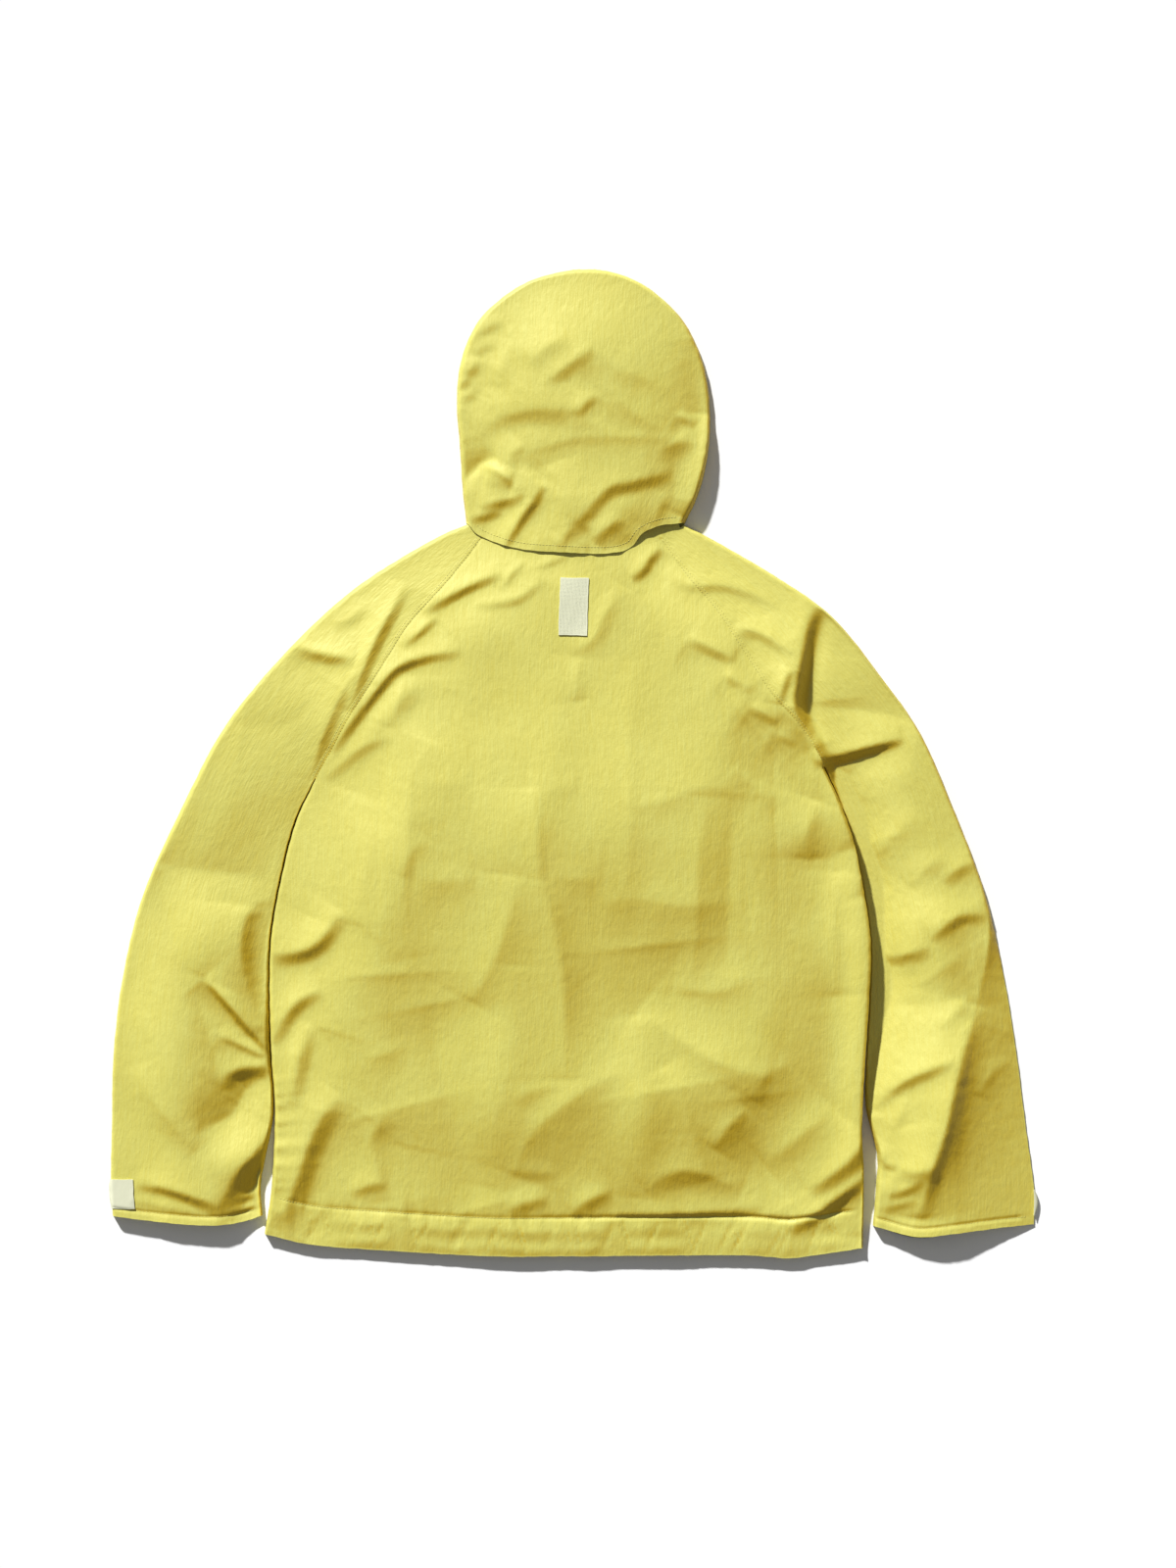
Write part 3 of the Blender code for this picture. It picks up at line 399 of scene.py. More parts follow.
HOOD_HOLLOWS = [
    Hollow([(-118, 232), (-9, 203), (122, 232)], 10, 1.5),
    Hollow([(-90, 322), (-50, 336), (0, 334)], 13, 2),
    Hollow([(-88, 284), (-74, 282), (-60, 278)], 14, -3),
    Hollow([(-20, 296), (-8, 264), (0, 236)], 22, -2.5),
    Hollow([(20, 222), (50, 250), (100, 262)], 18, -3),
    Hollow([(122, 260), (128, 330), (120, 420)], 16, 3),
]

# Where a folded edge stands higher (a depth below 0) or lower than the others
BACK_LIFTS = [
    Hollow([(240, 14), (268, -43), (293, -152), (294, -250), (288, -364), (288, -470)], 30, -12),
    Hollow([(246, 4), (262, -32), (280, -84), (290, -130)], 16, -4),
]
SLEEVE_LIFTS = [
    Hollow([(240, 14), (268, -43), (294, -152), (295, -250), (292, -342), (300, -400)], 34, 5),
    Hollow([(244, 6), (260, -30), (278, -84), (290, -130)], 18, 5),
]
HOOD_LIFTS = [
    Hollow([(112, 244), (124, 272), (133, 306), (136, 346)], 20, -8),
]

# The soft unevenness everywhere: how high, how wide and how long its swells are, and a seed; the
# ground under them is bent by so much, over so far
RUMPLES = ((1.2, 78, 115, 33), (0.12, 24, 46, 34), (0.08, 6, 14, 36))
RUMPLE_BEND = 14
RUMPLE_REACH = 70

# Creases of the hidden side, which only lift its cloth off the surface
LOWER_LIFT = 3.0
LOWER_FOLDS = [
    Fold([(-190, 60), (-160, 20), (-150, -40)], 2.6, 9, 7, 0),
    Fold([(-230, -90), (-180, -120), (-120, -130)], 2.8, 10, 6, 0),
    Fold([(-240, -340), (-190, -350), (-130, -330)], 2.8, 10, 7, 0),
    Fold([(-200, -430), (-150, -420), (-90, -430)], 2.4, 9, 6, 0),
    Fold([(200, 20), (160, -20), (110, -40)], 2.8, 10, 6, 0),
    Fold([(80, -130), (90, -190), (80, -250)], 2.0, 9, 7, 0),
    Fold([(230, -440), (170, -430), (120, -440)], 2.2, 8, 6, 0),
    Fold([(-320, 30), (-290, 0), (-280, -60)], 2.2, 9, 7, 0),
    Fold([(-410, -150), (-370, -190), (-340, -200)], 2.6, 9, 6, 0),
    Fold([(-430, -380), (-390, -400), (-350, -390)], 2.0, 8, 6, 0),
    Fold([(400, -130), (360, -160), (330, -220)], 2.6, 9, 6, 0),
    Fold([(-80, 430), (-60, 380), (-70, 330)], 2.0, 8, 6, 0),
]

# The tape, the tabs and the lining
TAPE_WALL = 1.0
TAPE_GAP = 0.2
PATCH_SIZE = (28.0, 57.0)
PATCH_CENTRE = (0.9, 155.0)
PATCH_TILT = 0.035
TAPE_EDGE = 1.0               # bare tape round the hooks
HOOK_PITCH = 1.3
HOOK_HEIGHT = 0.3
HOOK_THREAD = 0.14
TAB_LEVELS = (-413.0, -442.0)
TAB_REACH = 23.0
TAB_BULGE = 1.4
RIGHT_TAB_LEVELS = (-424.0, -449.5)
RIGHT_TAB_BULGE = 2.8
RIGHT_TAB_MIDDLE = 2.6        # how high the turn's middle is, and how round the turn
RIGHT_TAB_ROUND = 2.1
LINING_WALL = 1.0
LINING_SPAN = (0.06, 0.55)    # the stretch of the right cuff's edge where it lies
LINING_TOP = 3.4
LINING_DEPTH = 22.0
LINING_SHOWS = 2.4

# Each piece, the solid that it stands for and its material; what it was cut to (width and length in
# metres, and the share of that rectangle it fills); what it lies on, and what is sewn to it
Cut = namedtuple("Cut", "piece solid slot wide long share rests_on sewn_on")
CUTS = [
    Cut("back_panel", "back", "citron_cloth", 0.62, 0.74, 0.81,
        ["front_left_panel", "front_right_panel"], ["hem_stitching"]),
    Cut("front_left_panel", "front_left", "citron_cloth", 0.31, 0.70, 0.80,
        ["front_flap_panel", "floor"], []),
    Cut("front_right_panel", "front_right", "citron_cloth", 0.31, 0.70, 0.80,
        ["front_flap_panel", "floor"], []),
    Cut("front_flap_panel", "front_flap", "citron_cloth", 0.058, 0.646, 1.0, ["floor"], []),
    Cut("sleeve_left_upper", "sleeve_left_back", "citron_cloth", 0.20, 0.80, 0.61,
        ["sleeve_left_lower"], ["sleeve_left_stitching"]),
    Cut("sleeve_right_upper", "sleeve_right_back", "citron_cloth", 0.20, 0.80, 0.61,
        ["sleeve_right_lower"], ["sleeve_right_stitching"]),
    Cut("sleeve_left_lower", "sleeve_left_front", "citron_cloth", 0.19, 0.78, 0.62, ["floor"], []),
    Cut("sleeve_right_lower", "sleeve_right_front", "citron_cloth", 0.19, 0.78, 0.585, ["floor"], []),
    Cut("hood_back_panel", "hood_back", "citron_cloth", 0.28, 0.31, 0.80,
        ["hood_side_left_panel", "hood_side_right_panel"], ["hood_stitching"]),
    Cut("hood_side_left_panel", "hood_side_left", "citron_cloth", 0.13, 0.34, 0.61, ["floor"], []),
    Cut("hood_side_right_panel", "hood_side_right", "citron_cloth", 0.13, 0.34, 0.52, ["floor"], []),
    Cut("neck_band_piece", "neck_band", "citron_cloth", 0.066, 0.0235, 1.0,
        ["hood_side_right_panel"], []),
    Cut("back_patch_tape", "back_patch", "off_white_tape", 0.028, 0.057, 1.0,
        ["back_panel"], ["back_patch_hooks"]),
    Cut("cuff_tab_left_tape", "cuff_tab_left", "off_white_tape", 0.0335, 0.029, 1.0,
        ["sleeve_left_upper"], []),
    Cut("cuff_tab_right_tape", "cuff_tab_right", "off_white_tape", 0.010, 0.0255, 0.75,
        ["sleeve_right_lower"], []),
    Cut("cuff_lining_right_strip", "cuff_lining_right", "navy_lining", 0.078, 0.025, 1.0,
        ["sleeve_right_lower"], []),
]

# The cloth's grain: how wide and how long its slubs, crinkles, weave and patches are, and how fine
GRAINS = ((1.5, 26.0, 2.0), (3.0, 7.0, 3.0), (1.1, 1.6, 1.0), (60.0, 90.0, 2.0))

# Small sharp creases in the bump: how wide and how long, and how deep beside the weave
CREASES = ((17.0, 26.0, 1.3), (8.0, 14.0, 0.7))

# Painted shade: from which slope to the sun the cloth takes its painted shade colour, and how fast
PAINTED_SHADE_START = 0.48
PAINTED_SHADE_SPAN = 0.30

# Light and camera, in metres
SUN_WAY = (0.382, -0.790, -0.480)
SUN_POWER = 5.9
SUN_SOFTNESS = 0.05
FILL = 0.21
FLOOR = -0.0006
FLOOR_REACH = 3.0
CAMERA_PLACE = (0.0151, -0.0205, 4.0)
PICTURE_HEIGHT = 1.56         # what the picture takes in from top to bottom, on the floor

# Colours of cloth: where its grain is light and dark, and the painted shade colour that is mixed in
# where the cloth turns away from the sun
CITRON_AND_PAINTED_SHADE = ((0.640, 0.620, 0.156), (0.555, 0.485, 0.064), (0.62, 0.42, 0.01))
OFF_WHITE_AND_PAINTED_SHADE = ((0.69, 0.695, 0.51), (0.66, 0.67, 0.48), (0.60, 0.60, 0.42))
NAVY_AND_PAINTED_SHADE = ((0.02, 0.023, 0.045), (0.01, 0.012, 0.025), (0.008, 0.01, 0.02))
THREAD_COLOUR = (0.62, 0.57, 0.16)


# ---------------------------------------------------------------- lines and grids

def smooth_curve(points, first=0, last=None, steps=12):
    """A Catmull-Rom curve through the points, cut to the stretch from point first to last."""
    through = np.array(points, float)
    ends = np.vstack([2 * through[0] - through[1], through, 2 * through[-1] - through[-2]])
    t = np.linspace(0, 1, steps, endpoint=False)[:, None]
    pieces = []
    for a, b, c, d in zip(ends[:-3], ends[1:-2], ends[2:-1], ends[3:]):
        cubic = (2 * a - 5 * b + 4 * c - d) * t ** 2 + (3 * b - a - 3 * c + d) * t ** 3
        pieces.append(0.5 * (2 * b + (c - a) * t + cubic))
    line = np.vstack(pieces + [through[-1:]])
    if last is None:
        last = len(points) - 1
    if first > last:
        return line[last * steps:first * steps + 1][::-1]
    return line[first * steps:last * steps + 1]


def run_of(line):
    """How far along a line each of its points lies."""
    return np.concatenate([[0], np.cumsum(np.linalg.norm(np.diff(line, axis=0), axis=1))])


def stations(line, fractions):
    run = run_of(line)
    at = np.asarray(fractions) * run[-1]
    return np.column_stack([np.interp(at, run, line[:, axis]) for axis in range(line.shape[1])])


def at_levels(line, levels):
    """Points where a line that only runs down meets the given Y levels."""
    return np.column_stack([np.interp(-levels, -line[:, 1], line[:, 0]), levels])


def even(count):
    return np.linspace(0, 1, count + 1)


def odd_steps(count, ends):
    """The number of steps between two ends that gives a grid an odd number of lines."""
    count = int(round(count))
    return count + (ends + count + 1) % 2


def spread(length, start, finish, between):
    """Fractions of a length, at the given distances near its ends and even in the middle."""
    shrink = min(1.0, 0.42 * length / max(start[-1], finish[-1], 1.0))
    near = np.array(start) * shrink
    far = length - np.array(finish)[::-1] * shrink
    middle = np.linspace(near[-1], far[0], between + 1)
    return np.concatenate([near[:-1], middle, far[1:]]) / length


def joined(upper, upper_steps, lower, lower_fractions):
    """The rows of an edge made of two lines, such as a raglan seam and a side seam."""
    top = stations(upper, even(upper_steps))
    return np.vstack([top, stations(lower, lower_fractions)[1:]])


def patch_grid(left, right, top, bottom, start, finish, pitch):
    """Rows of points that fill the space between four edges, as a Coons patch."""
    widest = np.max(np.linalg.norm(right - left, axis=1))
    between = odd_steps((widest - start[-1] - finish[-1]) / pitch, len(start) + len(finish) - 1)
    run = run_of((left + right) / 2)
    rows = []
    for a, b, v in zip(left, right, run / run[-1]):
        u = spread(np.linalg.norm(b - a), start, finish, between)
        across = a + np.outer(u, b - a)
        high = stations(top, u) - (top[0] + np.outer(u, top[-1] - top[0]))
        low = stations(bottom, u) - (bottom[0] + np.outer(u, bottom[-1] - bottom[0]))
        rows.append(across + (1 - v) * high + v * low)
    return np.array(rows)


def square_inward(view):
    """Unit vectors that point into a grid, square to its first row."""
    along = np.gradient(view[0], axis=0)
    along /= np.linalg.norm(along, axis=1)[:, None]
    square = np.column_stack([-along[:, 1], along[:, 0]])
    return square * np.sign(np.sum(square * (view[1] - view[0])))


def trimmed(grid):
    """Draws the four edges of a grid in by half a seam gap."""
    grid = grid.copy()
    for turn in range(4):
        view = np.rot90(grid, turn)
        view[0] += square_inward(view) * SEAM_GAP / 2
    return grid


def beside(line, x, y):
    """How far along a line each point lies (0 to 1), and how far to its left."""
    start = line[:-1]
    step = np.diff(line, axis=0)
    length = np.linalg.norm(step, axis=1)
    run = run_of(line)
    along = np.empty_like(x)
    left = np.empty_like(x)
    for part in np.array_split(np.arange(len(x)), 1 + len(x) // 8000):
        away_x = x[part, None] - start[:, 0]
        away_y = y[part, None] - start[:, 1]
        share = np.clip((away_x * step[:, 0] + away_y * step[:, 1]) / length ** 2, 0, 1)
        off_x = away_x - share * step[:, 0]
        off_y = away_y - share * step[:, 1]
        distance = off_x ** 2 + off_y ** 2
        nearest = np.argmin(distance, axis=1)
        row = np.arange(len(part))
        turn = step[nearest, 0] * off_y[row, nearest] - step[nearest, 1] * off_x[row, nearest]
        along[part] = (run[nearest] + share[row, nearest] * length[nearest]) / run[-1]
        left[part] = np.sqrt(distance[row, nearest]) * np.where(turn < 0, -1, 1)
    return along, left


# ---------------------------------------------------------------- seeded unevenness

def wave(s, seed):
    """A smooth random line between about -1 and 1, one swing to each unit of s."""
    knots = np.random.default_rng(seed).uniform(-1, 1, 512)
    cell = np.floor(s).astype(int)
    t = s - cell
    t = t * t * (3 - 2 * t)
    return knots[cell % 512] * (1 - t) + knots[(cell + 1) % 512] * t


def drift(x, y, seed):
    """Smooth random ground between about -1 and 1, one swing to each unit of x and y."""
    angles = np.random.default_rng(seed).uniform(0, 2 * np.pi, (128, 128))
    cell_x = np.floor(x).astype(int)
    cell_y = np.floor(y).astype(int)
    u = x - cell_x
    v = y - cell_y

    def corner(i, j):
        angle = angles[(cell_x + i) % 128, (cell_y + j) % 128]
        return np.cos(angle) * (u - i) + np.sin(angle) * (v - j)

    ease_u = u ** 3 * (u * (6 * u - 15) + 10)
    ease_v = v ** 3 * (v * (6 * v - 15) + 10)
    low = corner(0, 0) * (1 - ease_u) + corner(1, 0) * ease_u
    high = corner(0, 1) * (1 - ease_u) + corner(1, 1) * ease_u
    return 1.6 * (low * (1 - ease_v) + high * ease_v)


# ---------------------------------------------------------------- the cloth's height

FOLDED_EDGES = [smooth_curve(points, steps=6) for points in (
    HOOD_OUTLINE, OUTER_LEFT, OUTER_RIGHT, INNER_LEFT, INNER_RIGHT, SIDE_LEFT, SIDE_RIGHT)]

# Puckers across a line of sewing, or in from a folded edge
Puckers = namedtuple("Puckers", "line first last spacing reach depth seed")
SEWN_PUCKERS = {
    "body": [
        Puckers(RAGLAN_RIGHT, 1, 7, 15, 18, 1.1, 3),
        Puckers(RAGLAN_LEFT, 1, 8, 24, 16, 0.7, 4),
        Puckers(NECK_SEAM, 1, 6, 17, 14, 0.9, 5),
        Puckers(SIDE_LEFT, 4, 7, 9, 18, 2.6, 6),
        Puckers(SIDE_LEFT, 1, 4, 22, 20, 0.9, 7),
        Puckers(SIDE_RIGHT, 1, 9, 19, 18, 0.8, 8),
    ],
    "left": [
        Puckers(CUFF_LEFT, 0, 4, 11, 14, 0.9, 11),
        Puckers(OUTER_LEFT, 5, 12, 40, 26, 0.8, 12),
        Puckers(INNER_LEFT, 5, 8, 10, 14, 1.1, 13),
    ],
    "right": [
        Puckers(CUFF_RIGHT, 0, 4, 12, 14, 0.8, 14),
        Puckers(OUTER_RIGHT, 5, 12, 34, 24, 1.0, 15),
        Puckers(INNER_RIGHT, 8, 11, 9, 16, 1.6, 16),
        Puckers(INNER_RIGHT, 2, 8, 26, 16, 0.8, 17),
    ],
    "hood": [
        Puckers(HOOD_LIP, 0, 8, 13, 16, 1.9, 21),
        Puckers(HOOD_OUTLINE, 0, 6, 16, 16, 1.6, 22),
        Puckers(HOOD_OUTLINE, 9, 16, 20, 14, 1.0, 23),
    ],
}


def edge_distances(x, y):
    """The distance to the nearest folded edge, sharp, and rounded off at corners and underarms."""
    near = np.array([np.abs(beside(edge, x, y)[1]) for edge in FOLDED_EDGES])
    sharp = near.min(axis=0)
    for under_x, under_y in (SIDE_LEFT[0], SIDE_RIGHT[0]):
        near += UNDERARM_LIFT * np.exp(-np.hypot(x - under_x, y - under_y) / UNDERARM_REACH)
    return sharp, np.sum((near + 0.01) ** -4.0, axis=0) ** -0.25


def bow(share):
    """A rounded corner: upright at 0, level at 1 and beyond."""
    return (1 - (1 - np.clip(share, 0, 1)) ** CORNER) ** (1 / CORNER)


def swell(share):
    """A soft step from 0 at 0 to 1 at 1 and beyond."""
    return np.sin(np.clip(share, 0, 1) * np.pi / 2) ** 1.5


def crown_height(x, y):
    weights = [np.exp(-((x - c.x) ** 2 + (y - c.y) ** 2) / c.reach ** 2) + 1e-9 for c in CROWNS]
    heights = [weight * c.height for weight, c in zip(weights, CROWNS)]
    return np.sum(heights, axis=0) / np.sum(weights, axis=0)


def reached(path, reach, x, y):
    path = np.array(path, float)
    low = path.min(axis=0) - reach
    high = path.max(axis=0) + reach
    return np.flatnonzero((x > low[0]) & (x < high[0]) & (y > low[1]) & (y < high[1]))


def fading(along):
    return np.sin(np.pi * np.clip(along, 0, 1)) ** 0.7


def fold_height(x, y, folds, hollows):
    total = np.zeros_like(x)
    for fold in folds:
        near = reached(fold.path, max(3 * fold.gentle, 9 * fold.steep), x, y)
        along, left = beside(smooth_curve(fold.path, steps=6), x[near], y[near])
        width = np.where(left > 0, fold.gentle, fold.steep)
        crest = fold.rise * np.exp((CRISP - np.hypot(left, CRISP)) / width)
        past_foot = -left - 1.8 * fold.steep
        spread_out = np.where(past_foot > 0, FOOT_REACH, 1.2) * fold.steep
        foot = fold.dip * np.exp(-(past_foot / spread_out) ** 2)
        total[near] += fading(along) * (crest - foot)
    for hollow in hollows:
        near = reached(hollow.path, 3 * hollow.width, x, y)
        along, left = beside(smooth_curve(hollow.path, steps=6), x[near], y[near])
        total[near] -= fading(along) * hollow.depth * np.exp(-(left / hollow.width) ** 2)
    return total


def pucker_height(x, y, rows):
    total = np.zeros_like(x)
    for row in rows:
        line = smooth_curve(row.line, row.first, row.last, steps=6)
        near = reached(line, 3 * row.reach, x, y)
        along, left = beside(line, x[near], y[near])
        s = along * run_of(line)[-1] / row.spacing + 0.12 * left / row.spacing
        uneven = 0.65 * wave(s, row.seed) + 0.35 * wave(2.3 * s, row.seed + 50)
        strength = 0.55 + 0.45 * wave(s / 5, row.seed + 90)
        total[near] += row.depth * uneven * strength * fading(along) * np.exp(-np.abs(left) / row.reach)
    return total


def rumple(x, y):
    """The soft unevenness of cloth that was pulled flat by hand."""
    bent_x, bent_y = [at + RUMPLE_BEND * drift(x / RUMPLE_REACH, y / RUMPLE_REACH, seed)
                      for at, seed in ((x, 31), (y, 32))]
    return sum(high * drift(bent_x / wide, bent_y / long, seed) for high, wide, long, seed in RUMPLES)


def hem_height(x, y):
    """The hem's channel: a stitched groove, a puffed and gathered band, and its edge."""
    total = np.zeros_like(x)
    line = smooth_curve(HEM, steps=6)
    near = reached(line, HEM_CHANNEL + 40, x, y)
    along, left = beside(line, x[near], y[near])
    inside = np.abs(left)
    s = along * run_of(line)[-1]
    ends = np.clip(np.minimum(along, 1 - along) * 30, 0, 1)
    depth = 0.5 + 1.3 * np.clip((x[near] + 60) / 160, 0, 1) + 0.3 * wave(s / 60, 45)
    groove = depth * np.exp(-((inside - HEM_CHANNEL) / 2.0) ** 2)
    sag = HEM_SAG * np.exp(-(inside / 40) ** 2)
    within = np.sin(np.pi * np.clip(inside / HEM_CHANNEL, 0, 1))
    puff = 0.8 * within * (1 + 0.6 * wave(s / 34, 41))
    bend = 2.5 * wave(s / 45, 44)
    ridges = sum((0.45 + 0.6 * wave(s / 27, 46)) * np.exp(-((inside - at - bend) / reach) ** 2)
                 for at, reach in HEM_RIDGES)
    pinch = sum(np.clip(1 - np.abs(wave(s / pitch + slant * inside, seed)) * 6, 0, 1)
                for pitch, slant, seed in HEM_PINCHES)
    gather = 0.8 * wave(s / 6 + 0.03 * inside, 43) * np.exp(-np.abs(inside - 36) / 11)
    channel = (puff - 0.8 * pinch * within + ridges) * (inside < HEM_CHANNEL)
    total[near] = ends * (channel - groove + gather) - sag
    return total


def seam_height(x, y):
    """Grooves and small ridges along the sewn lines."""
    total = np.zeros_like(x)
    for seam, side in ((RAGLAN_LEFT, -1), (RAGLAN_RIGHT, 1)):
        line = smooth_curve(seam)
        near = reached(line, 12, x, y)
        left = beside(line, x[near], y[near])[1] * side
        groove = 0.25 * np.exp(-(left / 1.5) ** 2)
        stitched = sum(0.22 * np.exp(-((left - row) / 1.1) ** 2) for row in RAGLAN_STITCHING)
        raised = 0.25 * np.exp(-((left - 2.6) / 1.8) ** 2)
        total[near] += raised - groove - stitched
    for edge, depth in ((CUFF_LEFT, 0.9), (CUFF_RIGHT, 0.9)):
        line = smooth_curve(edge)
        near = reached(line, 14, x, y)
        inside = np.abs(beside(line, x[near], y[near])[1])
        total[near] -= depth * np.exp(-((inside - CUFF_STITCHING) / 1.3) ** 2)
    return total


def edge_roll(x, y, tight):
    """How far in from a folded edge the cloth takes to turn level."""
    roll = np.full_like(x, EDGE_ROLL)
    for path in tight:
        near = reached(path, 3 * TIGHT_REACH, x, y)
        along, left = beside(smooth_curve(path, steps=6), x[near], y[near])
        share = np.clip(1.5 * fading(along), 0, 1) * np.exp(-(left / TIGHT_REACH) ** 2)
        roll[near] *= 1 - TIGHT_SHARE * share
    return roll


def top_height(x, y, folds=(), hollows=(), puckers=(), at_edge=None, tight=(), lifts=(), facet=None):
    """Height of the upper cloth's outer face; at_edge marks points that lie on a folded edge."""
    sharp, rounded = edge_distances(x, y)
    if at_edge is not None:
        sharp[at_edge] = 0
        rounded[at_edge] = 0
    stands = EDGE_RISE + fold_height(x, y, (), lifts)
    edge = RIM_HEIGHT + stands * bow(sharp / edge_roll(x, y, tight))
    rise = (crown_height(x, y) - RIM_HEIGHT - stands) * swell(rounded / CROWN_REACH)
    plain = edge + rise
    if facet is not None:
        plain = facet(x, y, plain, sharp)
    detail = fold_height(x, y, folds, hollows) + pucker_height(x, y, puckers)
    detail += rumple(x, y) * np.clip(sharp / 40, 0.25, 1) + seam_height(x, y)
    floor = np.minimum(plain, LOWEST_TOP)
    return np.maximum(plain + detail * np.clip(sharp / FOLD_START, 0, 1), floor)


def back_height(x, y, at_edge=None):
    height = top_height(x, y, YOKE_FOLDS + BACK_FOLDS, YOKE_HOLLOWS + BACK_HOLLOWS,
                        SEWN_PUCKERS["body"], at_edge, (TIGHT_LEFT, TIGHT_RIGHT), BACK_LIFTS)
    sharp = edge_distances(x, y)[0]
    return height + hem_height(x, y) * np.clip(sharp / EDGE_ROLL, 0, 1)


def left_sleeve_height(x, y, at_edge=None):
    return top_height(x, y, YOKE_FOLDS + LEFT_SLEEVE_FOLDS, YOKE_HOLLOWS + LEFT_SLEEVE_HOLLOWS,
                      SEWN_PUCKERS["body"][:3] + SEWN_PUCKERS["left"], at_edge, (TIGHT_LEFT,))


def forearm_facet(x, y, plain, sharp):
    """The outer side of the right forearm: one plane, from its long crease to the folded edge."""
    along, left = beside(smooth_curve(FOREARM_CREASE, steps=6), x, y)
    past = np.clip(-left, 0, None)
    across = sharp + past + 0.01
    level = RIM_HEIGHT + EDGE_RISE
    crest = level + (crown_height(x, y) - level) * swell(across / CROWN_REACH)
    plane = RIM_HEIGHT + (crest - RIM_HEIGHT) * sharp / across
    share = np.where(left < 0, np.clip(fading(along) * 1.3, 0, 1), 0)
    return plain * (1 - share) + np.minimum(plain, plane) * share


def right_sleeve_height(x, y, at_edge=None):
    return top_height(x, y, YOKE_FOLDS + RIGHT_SLEEVE_FOLDS, YOKE_HOLLOWS + RIGHT_SLEEVE_HOLLOWS,
                      SEWN_PUCKERS["body"][:3] + SEWN_PUCKERS["right"], at_edge, (), SLEEVE_LIFTS,
                      forearm_facet)


def hood_height(x, y, at_edge=None):
    """The hood lies over the neck seam, and its lower edge droops over the band on the right."""
    height = top_height(x, y, HOOD_FOLDS, HOOD_HOLLOWS, SEWN_PUCKERS["hood"], at_edge, (), HOOD_LIFTS)
    sharp = edge_distances(x, y)[0]
    if at_edge is not None:
        sharp[at_edge] = 0
    wide = ((x - HOOD_DROOP.x) / HOOD_DROOP.wide) ** 2
    deep = ((y - HOOD_DROOP.y) / HOOD_DROOP.deep) ** 2
    lift = HOOD_OVERLAP + HOOD_DROOP.lift * np.exp(-wide - deep)
    return height + lift * np.clip(sharp / EDGE_ROLL, 0, 1)


Arm = namedtuple("Arm", "side outline raglan raglan_front inner cuff neck neck_front height")
LEFT = Arm("left", OUTER_LEFT, RAGLAN_LEFT, RAGLAN_FRONT_LEFT, INNER_LEFT, CUFF_LEFT, (0, 1), (0, 1),
           left_sleeve_height)
RIGHT = Arm("right", OUTER_RIGHT, RAGLAN_RIGHT, RAGLAN_FRONT_RIGHT, INNER_RIGHT, CUFF_RIGHT, (6, 7),
            (5, 6), right_sleeve_height)


# ---------------------------------------------------------------- shells of cloth

def on_surface(grid, height, rolled):
    """Puts a flat grid at its height; rolled names the grid's sides that are folded edges."""
    marks = np.zeros(grid.shape[:2], bool)
    for turn, name in enumerate(("top", "right", "bottom", "left")):
        if name in rolled:
            np.rot90(marks, turn)[0] = True
    x = grid[..., 0].ravel()
    y = grid[..., 1].ravel()
    z = height(x, y, marks.ravel() if marks.any() else None)
    return uneven(np.dstack([grid, z.reshape(grid.shape[:2])]))


def normals_of(points):
    down = np.gradient(points, axis=0)
    across = np.gradient(points, axis=1)
    normals = np.cross(down, across)
    normals /= np.linalg.norm(normals, axis=2)[..., None]
    return normals * np.sign(normals[..., 2].sum())


def border(rows, columns):
    """The positions round a grid, in order."""
    top = [(0, j) for j in range(columns)]
    right = [(i, columns - 1) for i in range(1, rows)]
    bottom = [(rows - 1, j) for j in range(columns - 2, -1, -1)]
    left = [(i, 0) for i in range(rows - 2, 0, -1)]
    return np.array(top + right + bottom + left)


def cells(rows, columns, first):
    at = first + np.arange(rows * columns).reshape(rows, columns)
    return np.stack([at[:-1, :-1], at[1:, :-1], at[1:, 1:], at[:-1, 1:]], axis=-1).reshape(-1, 4)


def uneven(points):
    """Moves points a little sideways, alike in every piece, so that no edge is quite smooth."""
    x, y = points[..., 0], points[..., 1]
    aside = [RUFFLE * drift(x / RUFFLE_PITCH, y / RUFFLE_PITCH, seed) for seed in (61, 62)]
    return points + np.dstack([*aside, np.zeros_like(x)])


